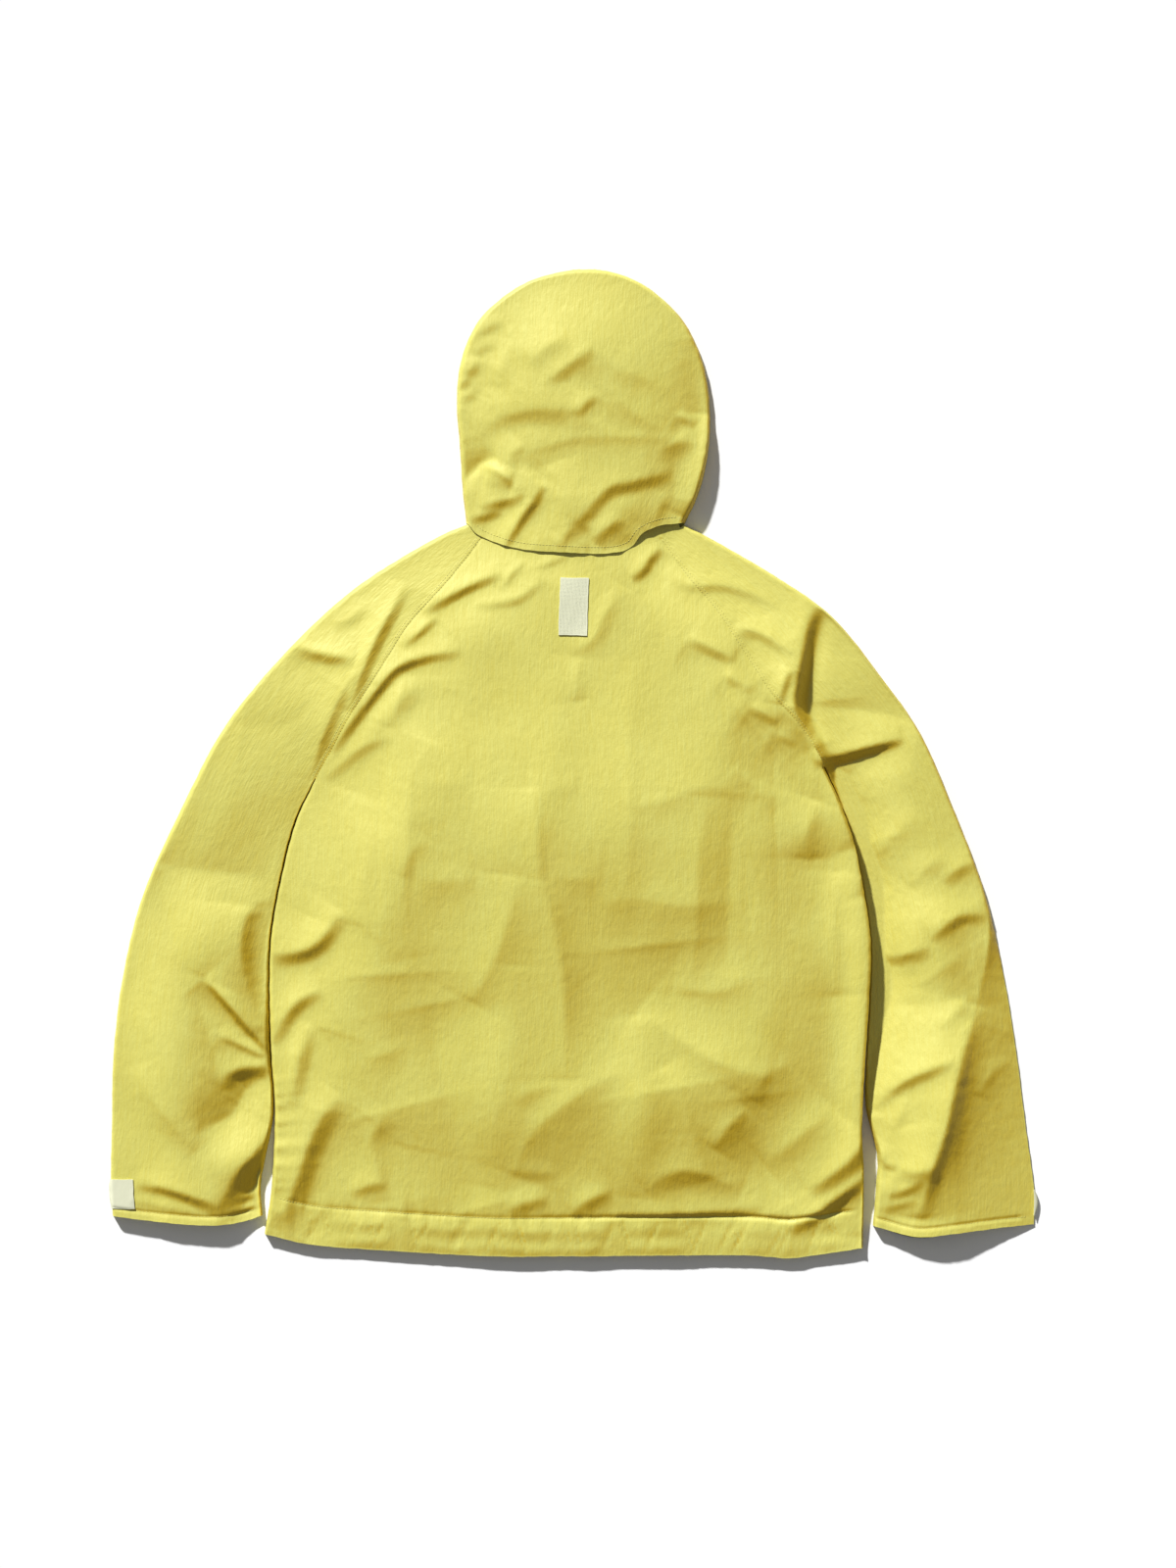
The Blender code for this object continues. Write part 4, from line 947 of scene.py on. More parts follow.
def cloth_shell(name, outer, material, wall=SHELL_WALL, facing=1):
    """A closed shell: the outer points, an inner side half as fine, and a rounded rim."""
    rows, columns = outer.shape[:2]
    through = np.array([0.0, 0.0, -1.0]) if facing < 0 else normals_of(outer)
    inner = (outer - through * wall)[::2, ::2]
    ring = border(rows, columns)
    half_ring = border(*inner.shape[:2])
    rim_outer = outer[ring[:, 0], ring[:, 1]]
    rim_inner = inner[half_ring[:, 0], half_ring[:, 1]]
    filled = np.empty_like(rim_outer)
    filled[::2] = rim_inner
    filled[1::2] = (rim_inner + np.roll(rim_inner, -1, axis=0)) / 2
    inside = outer[np.clip(ring[:, 0], 1, rows - 2), np.clip(ring[:, 1], 1, columns - 2)]
    away = rim_outer - inside
    away /= np.linalg.norm(away, axis=1)[:, None] + 1e-9
    rim = (rim_outer + filled) / 2 + away * RIM_BULGE * wall

    inner_first = rows * columns
    rim_first = inner_first + inner.shape[0] * inner.shape[1]
    edge = ring[:, 0] * columns + ring[:, 1]
    half_edge = inner_first + half_ring[:, 0] * inner.shape[1] + half_ring[:, 1]
    middle = rim_first + np.arange(len(ring))
    faces = cells(rows, columns, 0).tolist()
    faces += cells(*inner.shape[:2], inner_first)[:, ::-1].tolist()
    for k in range(len(ring)):
        after = (k + 1) % len(ring)
        faces.append([edge[k], edge[after], middle[after], middle[k]])
    for k in range(len(half_ring)):
        after = (k + 1) % len(half_ring)
        last = middle[(2 * k + 2) % len(ring)]
        faces.append([half_edge[after], half_edge[k], middle[2 * k], middle[2 * k + 1], last])
    points = np.vstack([outer.reshape(-1, 3), inner.reshape(-1, 3), rim])
    grain = grain_of(outer)
    grain = np.vstack([grain.reshape(-1, 2), grain[::2, ::2].reshape(-1, 2),
                       grain[ring[:, 0], ring[:, 1]]])
    # painted shade, from each outer point's slope to the sun
    painted_shade = np.zeros(len(points))
    painted_shade[:rows * columns] = painted_shade_from_sun(outer).ravel()
    mesh_piece(name, points, faces, material, grain, painted_shade)


def painted_shade_from_sun(outer):
    """Painted shade: how far the cloth turns away from the sun, from 0 to 1, which mixes the painted
    shade colour into its base colour.
    """
    light = np.array(SUN_WAY) / np.linalg.norm(SUN_WAY)
    facing = -normals_of(outer) @ light
    return np.clip((PAINTED_SHADE_START - facing) / PAINTED_SHADE_SPAN, 0, 1)


def grain_of(points):
    """Metres across and along the cloth's own grain, for its weave."""
    flat = points[..., :2] * MM
    middle = flat.shape[1] // 2
    along = run_of(flat[:, middle])
    across = np.linalg.norm(np.diff(flat, axis=1), axis=2).cumsum(axis=1)
    across = np.hstack([np.zeros((len(flat), 1)), across])
    across -= across[:, middle:middle + 1]
    return np.dstack([across, np.repeat(along[:, None], flat.shape[1], axis=1)])


def new_object(name, data):
    item = bpy.data.objects.new(name, data)
    bpy.context.scene.collection.objects.link(item)
    return item


def mesh_piece(name, points, faces, material, grain, painted_shade):
    """A closed mesh from points in millimetres, its faces pointing outwards, with the painted shade
    share on its points.
    """
    mesh = bpy.data.meshes.new(name)
    mesh.from_pydata((np.asarray(points) * MM).tolist(), [], [list(map(int, face)) for face in faces])
    solid = bmesh.new()
    solid.from_mesh(mesh)
    if solid.calc_volume(signed=True) < 0:
        bmesh.ops.reverse_faces(solid, faces=solid.faces)
    solid.to_mesh(mesh)
    solid.free()
    corner = np.empty(len(mesh.loops), np.int32)
    mesh.loops.foreach_get("vertex_index", corner)
    mesh.uv_layers.new(name="grain").data.foreach_set("uv", grain[corner].ravel())
    # the painted shade share, kept on the points for the material
    mesh.attributes.new("painted_shade", "FLOAT", "POINT").data.foreach_set("value", painted_shade)
    mesh.shade_smooth()
    mesh.set_sharp_from_angle(angle=1.0)
    mesh.materials.append(material)
    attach(new_object(name, mesh), "root")


# ---------------------------------------------------------------- the garment's pieces

def body_rows(raglan, side):
    """Rows down the body: even, then fine through the hem's channel."""
    between = odd_steps((SIDE_LENGTH - HEM_ROWS[-1]) / BODY_PITCH, len(HEM_ROWS))
    return joined(smooth_curve(raglan), BODY_UNDERARM, smooth_curve(side),
                  spread(SIDE_LENGTH, (0.0,), HEM_ROWS, between))


def sleeve_rows(upper, lower):
    """Rows down a sleeve: even, then fine at the cuff."""
    between = odd_steps((SLEEVE_LENGTH - CUFF_ROWS[-1]) / SLEEVE_PITCH, len(CUFF_ROWS))
    return joined(upper, SLEEVE_UNDERARM, lower, spread(SLEEVE_LENGTH, (0.0,), CUFF_ROWS, between))


def arm_edges(arm, raglan, rows):
    """The two long edges of a sleeve's piece, from left to right."""
    outer = rows(smooth_curve(arm.outline, 0, BICEPS),
                 smooth_curve(arm.outline, BICEPS, len(arm.outline) - 1))
    inner = rows(smooth_curve(raglan), smooth_curve(arm.inner))
    return (outer, inner) if arm is LEFT else (inner, outer)


def meet_underarm(grid, height, whole, below, underarm):
    """An upper panel with some sides folded all the way and others only below the underarm."""
    folded = on_surface(grid, height, whole + below)
    plain = on_surface(grid, height, whole)
    folded[:underarm] = plain[:underarm]
    return folded


def build_back(cloth):
    left = body_rows(RAGLAN_LEFT, SIDE_LEFT)
    right = body_rows(RAGLAN_RIGHT, SIDE_RIGHT)
    grid = patch_grid(left, right, smooth_curve(NECK_SEAM, 1, 6), smooth_curve(HEM), ROLLED, ROLLED,
                      BODY_PITCH)
    outer = meet_underarm(trimmed(grid), back_height, (), ("left", "right"), BODY_UNDERARM)
    cloth_shell("back_panel", outer, cloth)


def build_sleeve_back(arm, cloth):
    edges = arm_edges(arm, arm.raglan, sleeve_rows)
    ends = (ROLLED, SEAM) if arm is LEFT else (SEAM, ROLLED)
    sewn = "right" if arm is LEFT else "left"
    grid = patch_grid(*edges, smooth_curve(NECK_SEAM, *arm.neck), smooth_curve(arm.cuff), *ends,
                      SLEEVE_PITCH)
    points = meet_underarm(trimmed(grid), arm.height, (arm.side,), (sewn,), SLEEVE_UNDERARM)
    cloth_shell("sleeve_%s_upper" % arm.side, points, cloth)


def build_hood_back(cloth):
    crown = HOOD_OUTLINE[HOOD_CROWN][1]
    depth = crown - HOOD_OUTLINE[0][1]
    between = odd_steps((depth - HOOD_FINE) / HOOD_PITCH, len(CROWN_ROWS) - 1 + len(LIP_ROWS))
    middle = np.linspace(CROWN_ROWS[-1], depth - LIP_ROWS[-1], between + 1)
    drops = np.concatenate([CROWN_ROWS[:-1], middle, depth - np.array(LIP_ROWS)[-2::-1]])
    left, right = [at_levels(smooth_curve(HOOD_OUTLINE, HOOD_CROWN, end), crown - drops)
                   for end in (0, len(HOOD_OUTLINE) - 1)]
    outline = smooth_curve(HOOD_OUTLINE)
    arc = np.vstack([left[:1], outline[outline[:, 1] > left[0, 1]], right[:1]])
    grid = patch_grid(left, right, arc, smooth_curve(HOOD_LIP), ROLLED, ROLLED, HOOD_PITCH)
    points = on_surface(trimmed(grid), hood_height, ("top", "left", "right"))
    cloth_shell("hood_back_panel", points, cloth)


def hidden_rows(upper, lower):
    return joined(upper, HIDDEN_UNDERARM, lower, even(SLEEVE_FRONT_ROWS))


def flap_slope(x, y):
    """The two fronts lie on the flap, and come down to the surface beside it."""
    start, end = np.array(CENTRE_FRONT, float)
    middle = start[0] + (y - start[1]) / (end[1] - start[1]) * (end[0] - start[0])
    past = (np.abs(x - middle) - FLAP_REACH[0]) / (FLAP_REACH[1] - FLAP_REACH[0])
    return (FLAP_WALL + LAYER_GAP) * (1 - np.clip(past, 0, 1))


def lower_height(x, y, at_edge=None):
    """Lower panels lie flat, but for the creases that lift them a little off the surface."""
    sharp = edge_distances(x, y)[0]
    lifted = np.clip(fold_height(x, y, LOWER_FOLDS, ()), 0, LOWER_LIFT)
    return lifted * np.clip((sharp - 15) / 20, 0, 1)


def front_height(x, y, at_edge=None):
    return lower_height(x, y) + flap_slope(x, y)


def lower_panel(name, grid, height, cloth):
    cloth_shell(name, on_surface(trimmed(grid), height, ()), cloth, facing=-1)


def build_fronts(cloth):
    edges = [joined(smooth_curve(raglan), HIDDEN_UNDERARM, smooth_curve(side), even(FRONT_ROWS))
             for raglan, side in ((RAGLAN_FRONT_LEFT, SIDE_LEFT), (RAGLAN_FRONT_RIGHT, SIDE_RIGHT))]
    middle = stations(smooth_curve(CENTRE_FRONT), even(len(edges[0]) - 1))
    grid = patch_grid(edges[0], middle, smooth_curve(NECK_FRONT, 1, 3),
                      smooth_curve(HEM, 0, HEM_MIDDLE), PLAIN, PAST_FLAP, HIDDEN_PITCH)
    lower_panel("front_left_panel", grid, front_height, cloth)
    grid = patch_grid(middle, edges[1], smooth_curve(NECK_FRONT, 3, 5),
                      smooth_curve(HEM, HEM_MIDDLE, len(HEM) - 1), PAST_FLAP, PLAIN, HIDDEN_PITCH)
    lower_panel("front_right_panel", grid, front_height, cloth)


def build_flap(cloth):
    """The storm flap, a plain strip that stops a little short of the neck and the hem."""
    (top_x, top_y), (low_x, low_y) = CENTRE_FRONT
    rows = []
    for v in even(90):
        x = top_x + v * (low_x - top_x)
        y = top_y - FLAP_END + v * (low_y - top_y + 2 * FLAP_END)
        rows.append([(x + u * FLAP_WIDTH / 2, y, 0.0) for u in np.linspace(-1, 1, 17)])
    cloth_shell("front_flap_panel", np.array(rows), cloth, wall=FLAP_WALL, facing=-1)


def build_sleeve_front(arm, cloth):
    edges = arm_edges(arm, arm.raglan_front, hidden_rows)
    grid = patch_grid(*edges, smooth_curve(NECK_FRONT, *arm.neck_front), smooth_curve(arm.cuff),
                      PLAIN, PLAIN, HIDDEN_PITCH)
    lower_panel("sleeve_%s_lower" % arm.side, grid, lower_height, cloth)


def build_hood_sides(cloth):
    """The sides are folded under, and leave the face open."""
    crown = HOOD_OUTLINE[HOOD_CROWN][1]
    depth = crown - FACE_LEFT[-1][1]
    drops = np.concatenate([(1.0, 3.0, 6.0, 10.0), np.linspace(15, depth, 51)])
    edge_levels = crown - drops * (crown - HOOD_OUTLINE[0][1]) / depth
    outline = smooth_curve(HOOD_OUTLINE)
    above = outline[outline[:, 1] > edge_levels[0]]
    for side, way, end, face, neck in (("left", 1, 0, FACE_LEFT, (0, 3)),
                                       ("right", -1, len(HOOD_OUTLINE) - 1, FACE_RIGHT, (3, 6))):
        edge = at_levels(smooth_curve(HOOD_OUTLINE, HOOD_CROWN, end), edge_levels)
        opening = at_levels(smooth_curve(face), crown - drops)
        past = above[above[:, 0] * way < opening[0, 0] * way]
        edges = (edge, opening)[::way]
        arc = np.vstack([edges[0][:1], past, edges[1][:1]])
        grid = patch_grid(*edges, arc, smooth_curve(NECK_FRONT, *neck), PLAIN, PLAIN, HOOD_SIDE_PITCH)
        lower_panel("hood_side_%s_panel" % side, grid, lower_height, cloth)


def build_neck_band(cloth):
    """The collar band that shows on the right, between the neck seam and the hood's edge."""
    seam = stations(smooth_curve(NECK_SEAM, 4, 7), np.linspace(*BAND_SPAN, 61))
    grid = np.array([seam + np.array(BAND_SLANT) * share for share in np.linspace(1, 0, 17)])
    cloth_shell("neck_band_piece", on_surface(trimmed(grid), back_height, ()), cloth)


def build_patch(tape):
    """Hook tape below the neck seam, laid on the back panel's own height."""
    wide, high = PATCH_SIZE
    rows = []
    for v in np.linspace(0.5, -0.5, 57):
        u = np.linspace(-0.5, 0.5, 29)
        x = PATCH_CENTRE[0] + u * wide + v * high * PATCH_TILT
        y = PATCH_CENTRE[1] + v * high - u * wide * PATCH_TILT
        rows.append(np.column_stack([x, y]))
    grid = np.array(rows)
    points = on_surface(grid, back_height, ())
    points[..., 2] += TAPE_GAP + TAPE_WALL
    cloth_shell("back_patch_tape", points, tape, wall=TAPE_WALL)
    return points


def build_left_tab(tape):
    """Hook tape over the folded edge of the left cuff, seen on its back."""
    levels = np.linspace(*TAB_LEVELS, 25)
    edge = at_levels(smooth_curve(OUTER_LEFT, BICEPS, len(OUTER_LEFT) - 1), levels)
    reach = TAB_REACH * np.linspace(0, 1, 21) ** 1.6
    grid = edge[:, None] + np.dstack([np.broadcast_to(reach, (25, 21)), np.zeros((25, 21))])
    points = on_surface(grid, left_sleeve_height, ("left",))
    out = normals_of(points)
    out[:, 0] = (-1, 0, 0)
    points = points + out * (TAPE_GAP + TAPE_WALL)
    round_end = np.sin(np.pi * even(24))
    points[:, 0, 0] -= TAB_BULGE * round_end
    cloth_shell("cuff_tab_left_tape", points, tape, wall=TAPE_WALL)


def build_right_tab(tape):
    """The same tape on the right cuff lies on its front, so that only its bulged edge shows."""
    levels = np.linspace(*RIGHT_TAB_LEVELS, 25)
    edge = at_levels(smooth_curve(OUTER_RIGHT, BICEPS, len(OUTER_RIGHT) - 1), levels)
    turn = np.linspace(0, 0.95 * np.pi, 13)
    round_end = RIGHT_TAB_BULGE * np.sin(np.pi * even(24)) + TAPE_GAP + TAPE_WALL
    x = edge[:, :1] + np.outer(round_end, np.sin(turn))
    y = np.repeat(edge[:, 1:], len(turn), axis=1)
    z = np.broadcast_to(RIGHT_TAB_MIDDLE + RIGHT_TAB_ROUND * np.cos(turn), x.shape)
    points = np.dstack([x, y, z])
    cloth_shell("cuff_tab_right_tape", points, tape, wall=TAPE_WALL)


def build_cuff_lining(lining):
    """The strip of dark lining that peeks out under the right cuff."""
    edge = stations(smooth_curve(CUFF_RIGHT), np.linspace(*LINING_SPAN, 61))
    rounded = np.sin(np.pi * np.linspace(0.1, 0.9, 61)) * LINING_SHOWS
    rows = []
    for back in np.linspace(LINING_DEPTH, -1.0, 15):
        y = edge[:, 1] + back * (rounded if back < 0 else 1.0)
        rows.append(np.column_stack([edge[:, 0], y, np.full(61, LINING_TOP)]))
    cloth_shell("cuff_lining_right_strip", np.array(rows), lining, wall=LINING_WALL)


# ---------------------------------------------------------------- sewing

def offset_line(line, distance, height, first, last=None):
    """A line beside a seam, on the cloth's surface; distance is to the left of its way."""
    ends = (first, 1 - first if last is None else last)
    points = stations(line, np.linspace(*ends, int(run_of(line)[-1] / THREAD_STEP)))
    along = np.gradient(points, axis=0)
    along /= np.linalg.norm(along, axis=1)[:, None]
    points = points + np.column_stack([-along[:, 1], along[:, 0]]) * distance
    return np.column_stack([points, height(points[:, 0], points[:, 1]) + THREAD_LIFT])


def add_node(tree, kind, inputs, **settings):
    """A node with its settings; an input is a value, or the output that it is linked to."""
    node = tree.nodes.new(kind)
    for name, value in settings.items():
        setattr(node, name, value)
    for slot, value in inputs.items():
        if isinstance(value, bpy.types.NodeSocket):
            tree.links.new(value, node.inputs[slot])
        else:
            node.inputs[slot].default_value = value
    return node


def add_sockets(tree, way, kinds):
    for name, kind in kinds.items():
        tree.interface.new_socket(name, in_out=way, socket_type="NodeSocket" + kind)


def new_tree(name, sizes):
    """A tree that takes geometry, sizes and a material, and what it is given."""
    tree = bpy.data.node_groups.new(name, "GeometryNodeTree")
    add_sockets(tree, "INPUT", {"Geometry": "Geometry", **dict.fromkeys(sizes, "Float"),
                                "Material": "Material"})
    add_sockets(tree, "OUTPUT", {"Geometry": "Geometry"})
    return tree, tree.nodes.new("NodeGroupInput").outputs


def finish_tree(tree, given, placed):
    real = add_node(tree, "GeometryNodeRealizeInstances", {0: placed})
    painted = add_node(tree, "GeometryNodeSetMaterial",
                       {"Geometry": real.outputs[0], "Material": given["Material"]})
    add_node(tree, "NodeGroupOutput", {0: painted.outputs[0]})
    return tree


def stitch_tree():
    """Short rounded stitches, end to end along lines."""
    tree, given = new_tree("row_of_stitches", ("Pitch", "Length", "Thread"))
    line = add_node(tree, "GeometryNodeMeshToCurve", {"Mesh": given["Geometry"]})
    points = add_node(tree, "GeometryNodeCurveToPoints",
                      {"Curve": line.outputs["Curve"], "Length": given["Pitch"]}, mode="LENGTH")
    stitch = add_node(tree, "GeometryNodeMeshUVSphere", {"Segments": 6, "Rings": 4, "Radius": 0.5})
    size = add_node(tree, "ShaderNodeCombineXYZ",
                    {"X": given["Length"], "Y": given["Thread"], "Z": given["Thread"]})
    align = add_node(tree, "FunctionNodeAlignRotationToVector",
                     {"Vector": points.outputs["Tangent"]}, axis="X")
    placed = add_node(tree, "GeometryNodeInstanceOnPoints",
                      {"Points": points.outputs["Points"], "Instance": stitch.outputs["Mesh"],
                       "Rotation": align.outputs["Rotation"], "Scale": size.outputs["Vector"]})
    return finish_tree(tree, given, placed.outputs["Instances"])


def hook_tree():
    """A small bent hook on every point."""
    tree, given = new_tree("hooks_on_tape", ("Height", "Thread"))
    bend = add_node(tree, "GeometryNodeCurveQuadraticBezier",
                    {"Resolution": 5, "Start": (0, 0, -0.1), "Middle": (-0.2, 0, 1.5),
                     "End": (0.7, 0, 0.75)})
    share = add_node(tree, "ShaderNodeMath", {0: given["Thread"], 1: given["Height"]},
                     operation="DIVIDE")
    ring = add_node(tree, "GeometryNodeCurvePrimitiveCircle",
                    {"Resolution": 4, "Radius": share.outputs[0]})
    tube = add_node(tree, "GeometryNodeCurveToMesh",
                    {"Curve": bend.outputs["Curve"], "Profile Curve": ring.outputs["Curve"],
                     "Fill Caps": True})
    turn = add_node(tree, "FunctionNodeRandomValue",
                    {"Min": (-0.2, -0.2, 1.2), "Max": (0.2, 0.2, 1.9)}, data_type="FLOAT_VECTOR")
    placed = add_node(tree, "GeometryNodeInstanceOnPoints",
                      {"Points": given["Geometry"], "Instance": tube.outputs["Mesh"],
                       "Rotation": turn.outputs["Value"], "Scale": given["Height"]})
    return finish_tree(tree, given, placed.outputs["Instances"])


def repeated(name, lines, tree, material, **sizes):
    """Runs a tree of nodes over lines or loose points, and keeps the result as a plain mesh."""
    points = []
    edges = []
    for line in lines:
        first = len(points)
        points += (np.asarray(line) * MM).tolist()
        if "Pitch" in sizes:
            edges += [(k, k + 1) for k in range(first, len(points) - 1)]
    mesh = bpy.data.meshes.new(name + "_path")
    mesh.from_pydata(points, edges, [])
    item = new_object(name, mesh)
    modifier = item.modifiers.new("nodes", "NODES")
    modifier.node_group = tree
    given = {size: value * MM for size, value in sizes.items()}
    given["Material"] = material
    for socket in tree.interface.items_tree:
        if socket.in_out == "INPUT" and socket.name in given:
            modifier[socket.identifier] = given[socket.name]
    shown = item.evaluated_get(bpy.context.evaluated_depsgraph_get())
    item_mesh = bpy.data.meshes.new_from_object(shown)
    item.modifiers.remove(modifier)
    item.data = item_mesh
    item_mesh.name = name
    item_mesh.shade_smooth()
    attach(item, "root")


def build_hooks(patch, hook):
    """Rows of hooks on the tape's own points."""
    wide, high = PATCH_SIZE
    lines = []
    for v in np.arange(0.5 * HOOK_PITCH + TAPE_EDGE, high - TAPE_EDGE, HOOK_PITCH):
        at = v / high * (len(patch) - 1)
        low = int(at)
        row = patch[low] * (1 - at + low) + patch[min(low + 1, len(patch) - 1)] * (at - low)
        lines.append(stations(row, np.arange(TAPE_EDGE + 0.2, wide - TAPE_EDGE, HOOK_PITCH) / wide))
    repeated("back_patch_hooks", lines, hook_tree(), hook, Height=HOOK_HEIGHT, Thread=HOOK_THREAD)


def build_sewing(thread):
    """Topstitching on the upper side, by the piece that it is sewn to."""
    tree = stitch_tree()
    rows = {"hem_stitching": [offset_line(smooth_curve(HEM), HEM_CHANNEL, back_height, 0.012)]}
    for arm, side in ((LEFT, -1), (RIGHT, 1)):
        raglan = smooth_curve(arm.raglan)
        rows["sleeve_%s_stitching" % arm.side] = [
            offset_line(raglan, side * row, arm.height, 0.01, 0.985) for row in RAGLAN_STITCHING
        ] + [offset_line(smooth_curve(arm.cuff), CUFF_STITCHING, arm.height, 0.05)]
    rows["hood_stitching"] = [offset_line(smooth_curve(HOOD_LIP), LIP_STITCHING, hood_height, 0.04)]
    for name, lines in rows.items():
        repeated(name, lines, tree, thread, Pitch=STITCH_PITCH, Length=STITCH_LENGTH, Thread=THREAD)


# ---------------------------------------------------------------- materials

def grain_group():
    """Slubs and crinkles along the cloth's grain: a colour with painted shade mixed in, and a height
    for a bump.
    """
    tree = bpy.data.node_groups.new("cloth_grain", "ShaderNodeTree")
    add_sockets(tree, "INPUT", {"Vector": "Vector", "Light": "Color", "Dark": "Color",
                                "Deep": "Color", "Painted_Shade_Share": "Float"})
    add_sockets(tree, "OUTPUT", {"Color": "Color", "Height": "Float"})
    given = tree.nodes.new("NodeGroupInput").outputs

    def noise(across, along, detail):
        stretch = add_node(tree, "ShaderNodeVectorMath",
                           {0: given["Vector"], 1: (1 / (across * MM), 1 / (along * MM), 1)},
                           operation="MULTIPLY")
        texture = add_node(tree, "ShaderNodeTexNoise",
                           {"Vector": stretch.outputs["Vector"], "Scale": 1.0, "Detail": detail})
        return texture.outputs["Fac"]

    def math(operation, first, second=0.0):
        return add_node(tree, "ShaderNodeMath", {0: first, 1: second}, operation=operation).outputs[0]

    def blend(share, first, second):
        return add_node(tree, "ShaderNodeMix", {"Factor": share, 6: first, 7: second},
                        data_type="RGBA").outputs[2]

    slub, crinkle, weave, patchy = [noise(*sizes) for sizes in GRAINS]
    height = math("ADD", math("MULTIPLY", slub, 0.45), math("MULTIPLY", crinkle, 0.75))
    for across, along, depth in CREASES:
        crease = math("ABSOLUTE", math("SUBTRACT", noise(across, along, 1.5), 0.5))
        height = math("SUBTRACT", height, math("MULTIPLY", crease, depth))
    height = math("ADD", height, math("MULTIPLY", weave, 0.22))
    shade = math("ADD", math("MULTIPLY", slub, 0.8), math("MULTIPLY", weave, 0.5))
    shade = math("ADD", shade, math("MULTIPLY", patchy, 0.5))
    lit = blend(math("SUBTRACT", shade, 0.4), given["Dark"], given["Light"])
    # painted shade: the painted shade colour mixed in by the share that the slope to the sun gives
    add_node(tree, "NodeGroupOutput",
             {"Color": blend(given["Painted_Shade_Share"], lit, given["Deep"]), "Height": height})
    return tree


def new_material(name, **values):
    """A material, and its Principled node with the given values; _ stands for a space."""
    material = bpy.data.materials.new(name)
    material.use_nodes = True
    surface = material.node_tree.nodes["Principled BSDF"]
    for slot, value in values.items():
        surface.inputs[slot.replace("_", " ")].default_value = value
    return material, material.node_tree, surface


def cloth_material(name, grain, colours, roughness, bump, gloss=0.25):
    material, tree, surface = new_material(name, Roughness=roughness, Specular_IOR_Level=gloss)
    where = add_node(tree, "ShaderNodeUVMap", {}, uv_map="grain")
    # painted shade share, read from the mesh
    painted_shade = add_node(tree, "ShaderNodeAttribute", {}, attribute_name="painted_shade")
    effect = tree.nodes.new("ShaderNodeGroup")
    effect.node_tree = grain
    for slot, colour in zip(("Light", "Dark", "Deep"), colours):
        effect.inputs[slot].default_value = (*colour, 1)
    relief = add_node(tree, "ShaderNodeBump",
                      {"Strength": 1.0, "Distance": bump * MM, "Height": effect.outputs["Height"]})
    for source, goal in ((painted_shade.outputs["Fac"], effect.inputs["Painted_Shade_Share"]),
                         (where.outputs["UV"], effect.inputs["Vector"]),
                         (effect.outputs["Color"], surface.inputs["Base Color"]),
                         (relief.outputs["Normal"], surface.inputs["Normal"])):
        tree.links.new(source, goal)
    return material


def plain_material(name, colour, roughness):
    """Thread and hooks, a little uneven along their length."""
    material, tree, surface = new_material(name, Roughness=roughness)
    place = add_node(tree, "ShaderNodeTexCoord", {})
    texture = add_node(tree, "ShaderNodeTexNoise", {"Vector": place.outputs["Object"], "Scale": 700.0})
    ramp = add_node(tree, "ShaderNodeValToRGB", {"Fac": texture.outputs["Fac"]})
    for stop, position, share in zip(ramp.color_ramp.elements, (0.35, 0.6), (0.82, 1.0)):
        stop.color = (*(share * c for c in colour), 1)
        stop.position = position
    tree.links.new(ramp.outputs["Color"], surface.inputs["Base Color"])
    return material


# ---------------------------------------------------------------- the setting

def build_floor():
    mesh = bpy.data.meshes.new("floor")
    corners = [(x * FLOOR_REACH, y * FLOOR_REACH, FLOOR)
               for x, y in ((-1, -1), (1, -1), (1, 1), (-1, 1))]
    mesh.from_pydata(corners, [], [(0, 1, 2, 3)])
    white, _, _ = new_material("white_floor", Base_Color=(0.92, 0.92, 0.92, 1), Roughness=0.9,
                               Specular_IOR_Level=0.0)
    mesh.materials.append(white)
    new_object("floor", mesh)


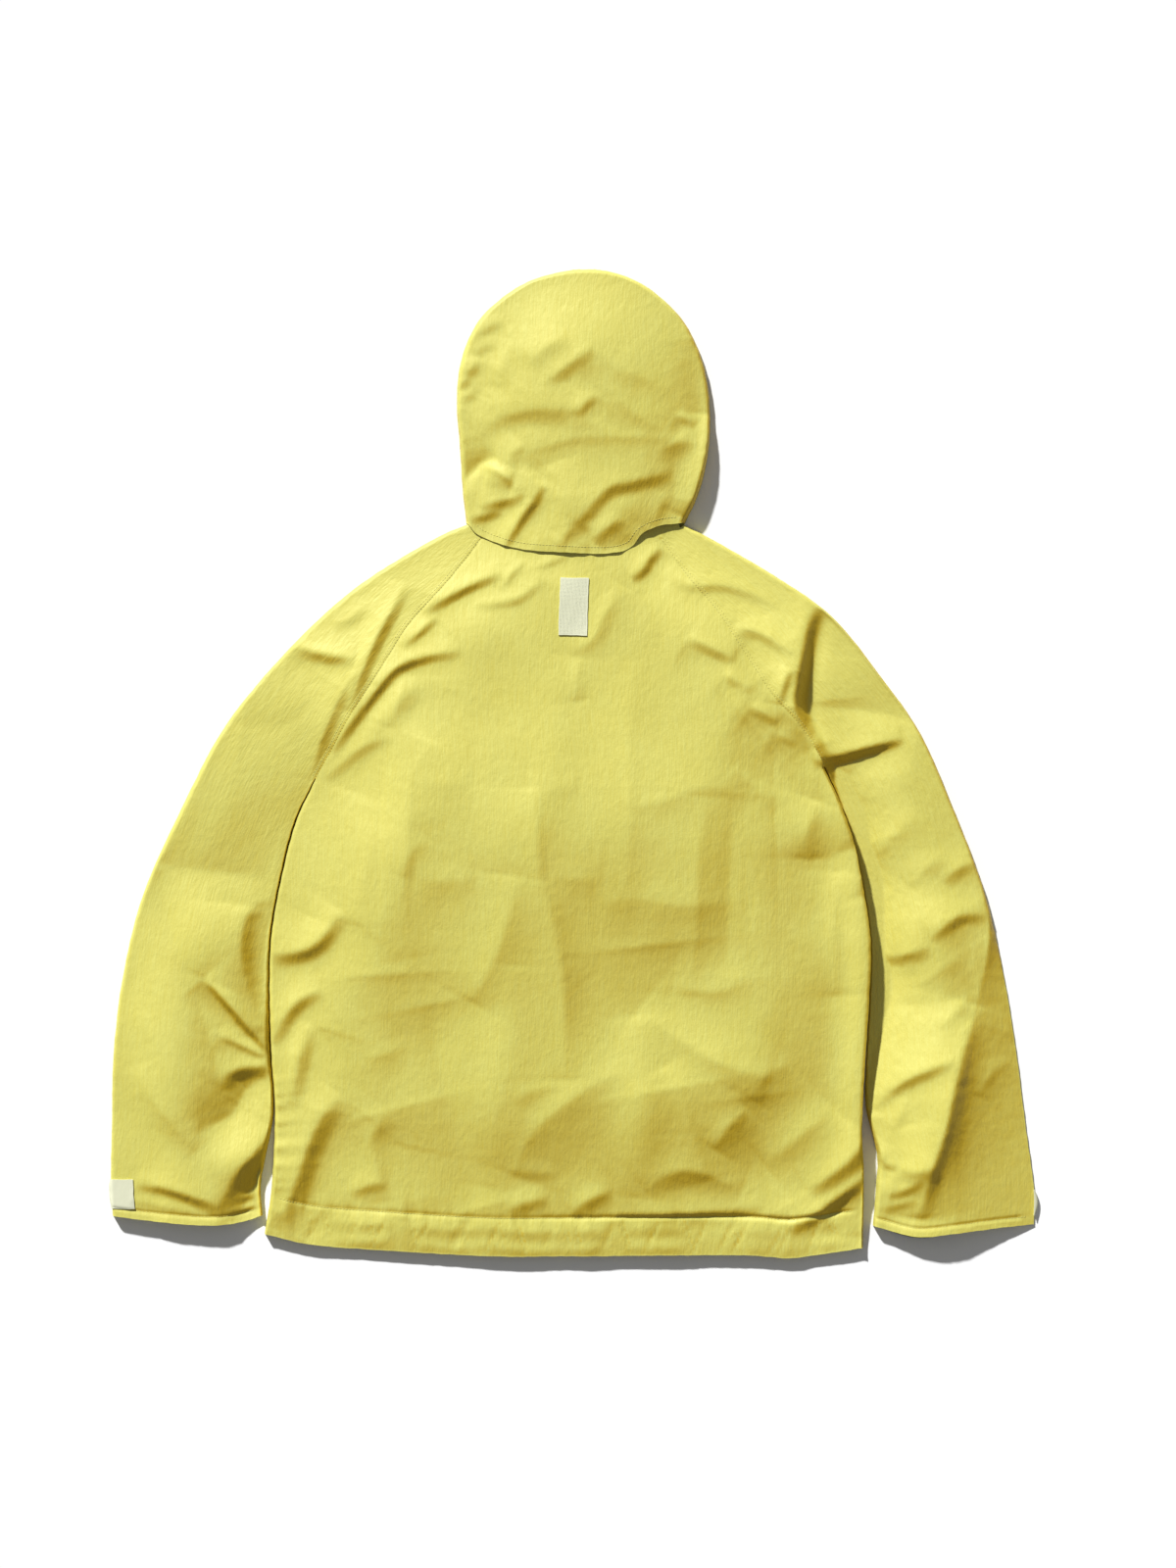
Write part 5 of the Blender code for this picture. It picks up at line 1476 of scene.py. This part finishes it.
def set_light():
    sun = bpy.data.lights.new("sun", "SUN")
    sun.energy = SUN_POWER
    sun.angle = SUN_SOFTNESS
    lamp = new_object("sun", sun)
    lamp.rotation_euler = Vector(SUN_WAY).to_track_quat("-Z", "Y").to_euler()
    world = bpy.data.worlds.new("soft_white")
    world.use_nodes = True
    background = world.node_tree.nodes["Background"].inputs
    background["Color"].default_value = (1, 1, 1, 1)
    background["Strength"].default_value = FILL
    bpy.context.scene.world = world
    bpy.context.scene.view_settings.view_transform = "Standard"


def set_camera():
    """Straight above, with the picture's top towards the hood."""
    camera = bpy.data.cameras.new("camera")
    camera.sensor_fit = "VERTICAL"
    camera.sensor_height = 24.0
    camera.lens = camera.sensor_height * CAMERA_PLACE[2] / PICTURE_HEIGHT
    eye = new_object("camera", camera)
    eye.location = CAMERA_PLACE
    bpy.context.scene.camera = eye


def build_parka():
    """The pieces, each made under the name that CUTS gives it."""
    grain = grain_group()
    shell = cloth_material("citron_shell", grain, CITRON_AND_PAINTED_SHADE, 0.6, 0.42, 0.6)
    tape = cloth_material("off_white_tape", grain, OFF_WHITE_AND_PAINTED_SHADE, 0.9, 0.15)
    lining = cloth_material("navy_lining", grain, NAVY_AND_PAINTED_SHADE, 0.8, 0.3)
    thread = plain_material("citron_thread", THREAD_COLOUR, 0.6)
    hook = plain_material("off_white_hook", OFF_WHITE_AND_PAINTED_SHADE[0], 0.5)

    build_back(shell)
    build_fronts(shell)
    build_flap(shell)
    for build in (build_sleeve_back, build_sleeve_front):
        for arm in (LEFT, RIGHT):
            build(arm, shell)
    build_hood_back(shell)
    build_hood_sides(shell)
    build_neck_band(shell)
    patch = build_patch(tape)
    build_left_tab(tape)
    build_right_tab(tape)
    build_cuff_lining(lining)
    build_sewing(thread)
    build_hooks(patch, hook)


def declare_pieces():
    """Hides the solid from the model that each piece stands for."""
    for cut in CUTS:
        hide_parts(cut.solid)


def main():
    build_parka()
    declare_pieces()
    build_floor()
    set_light()
    set_camera()


main()
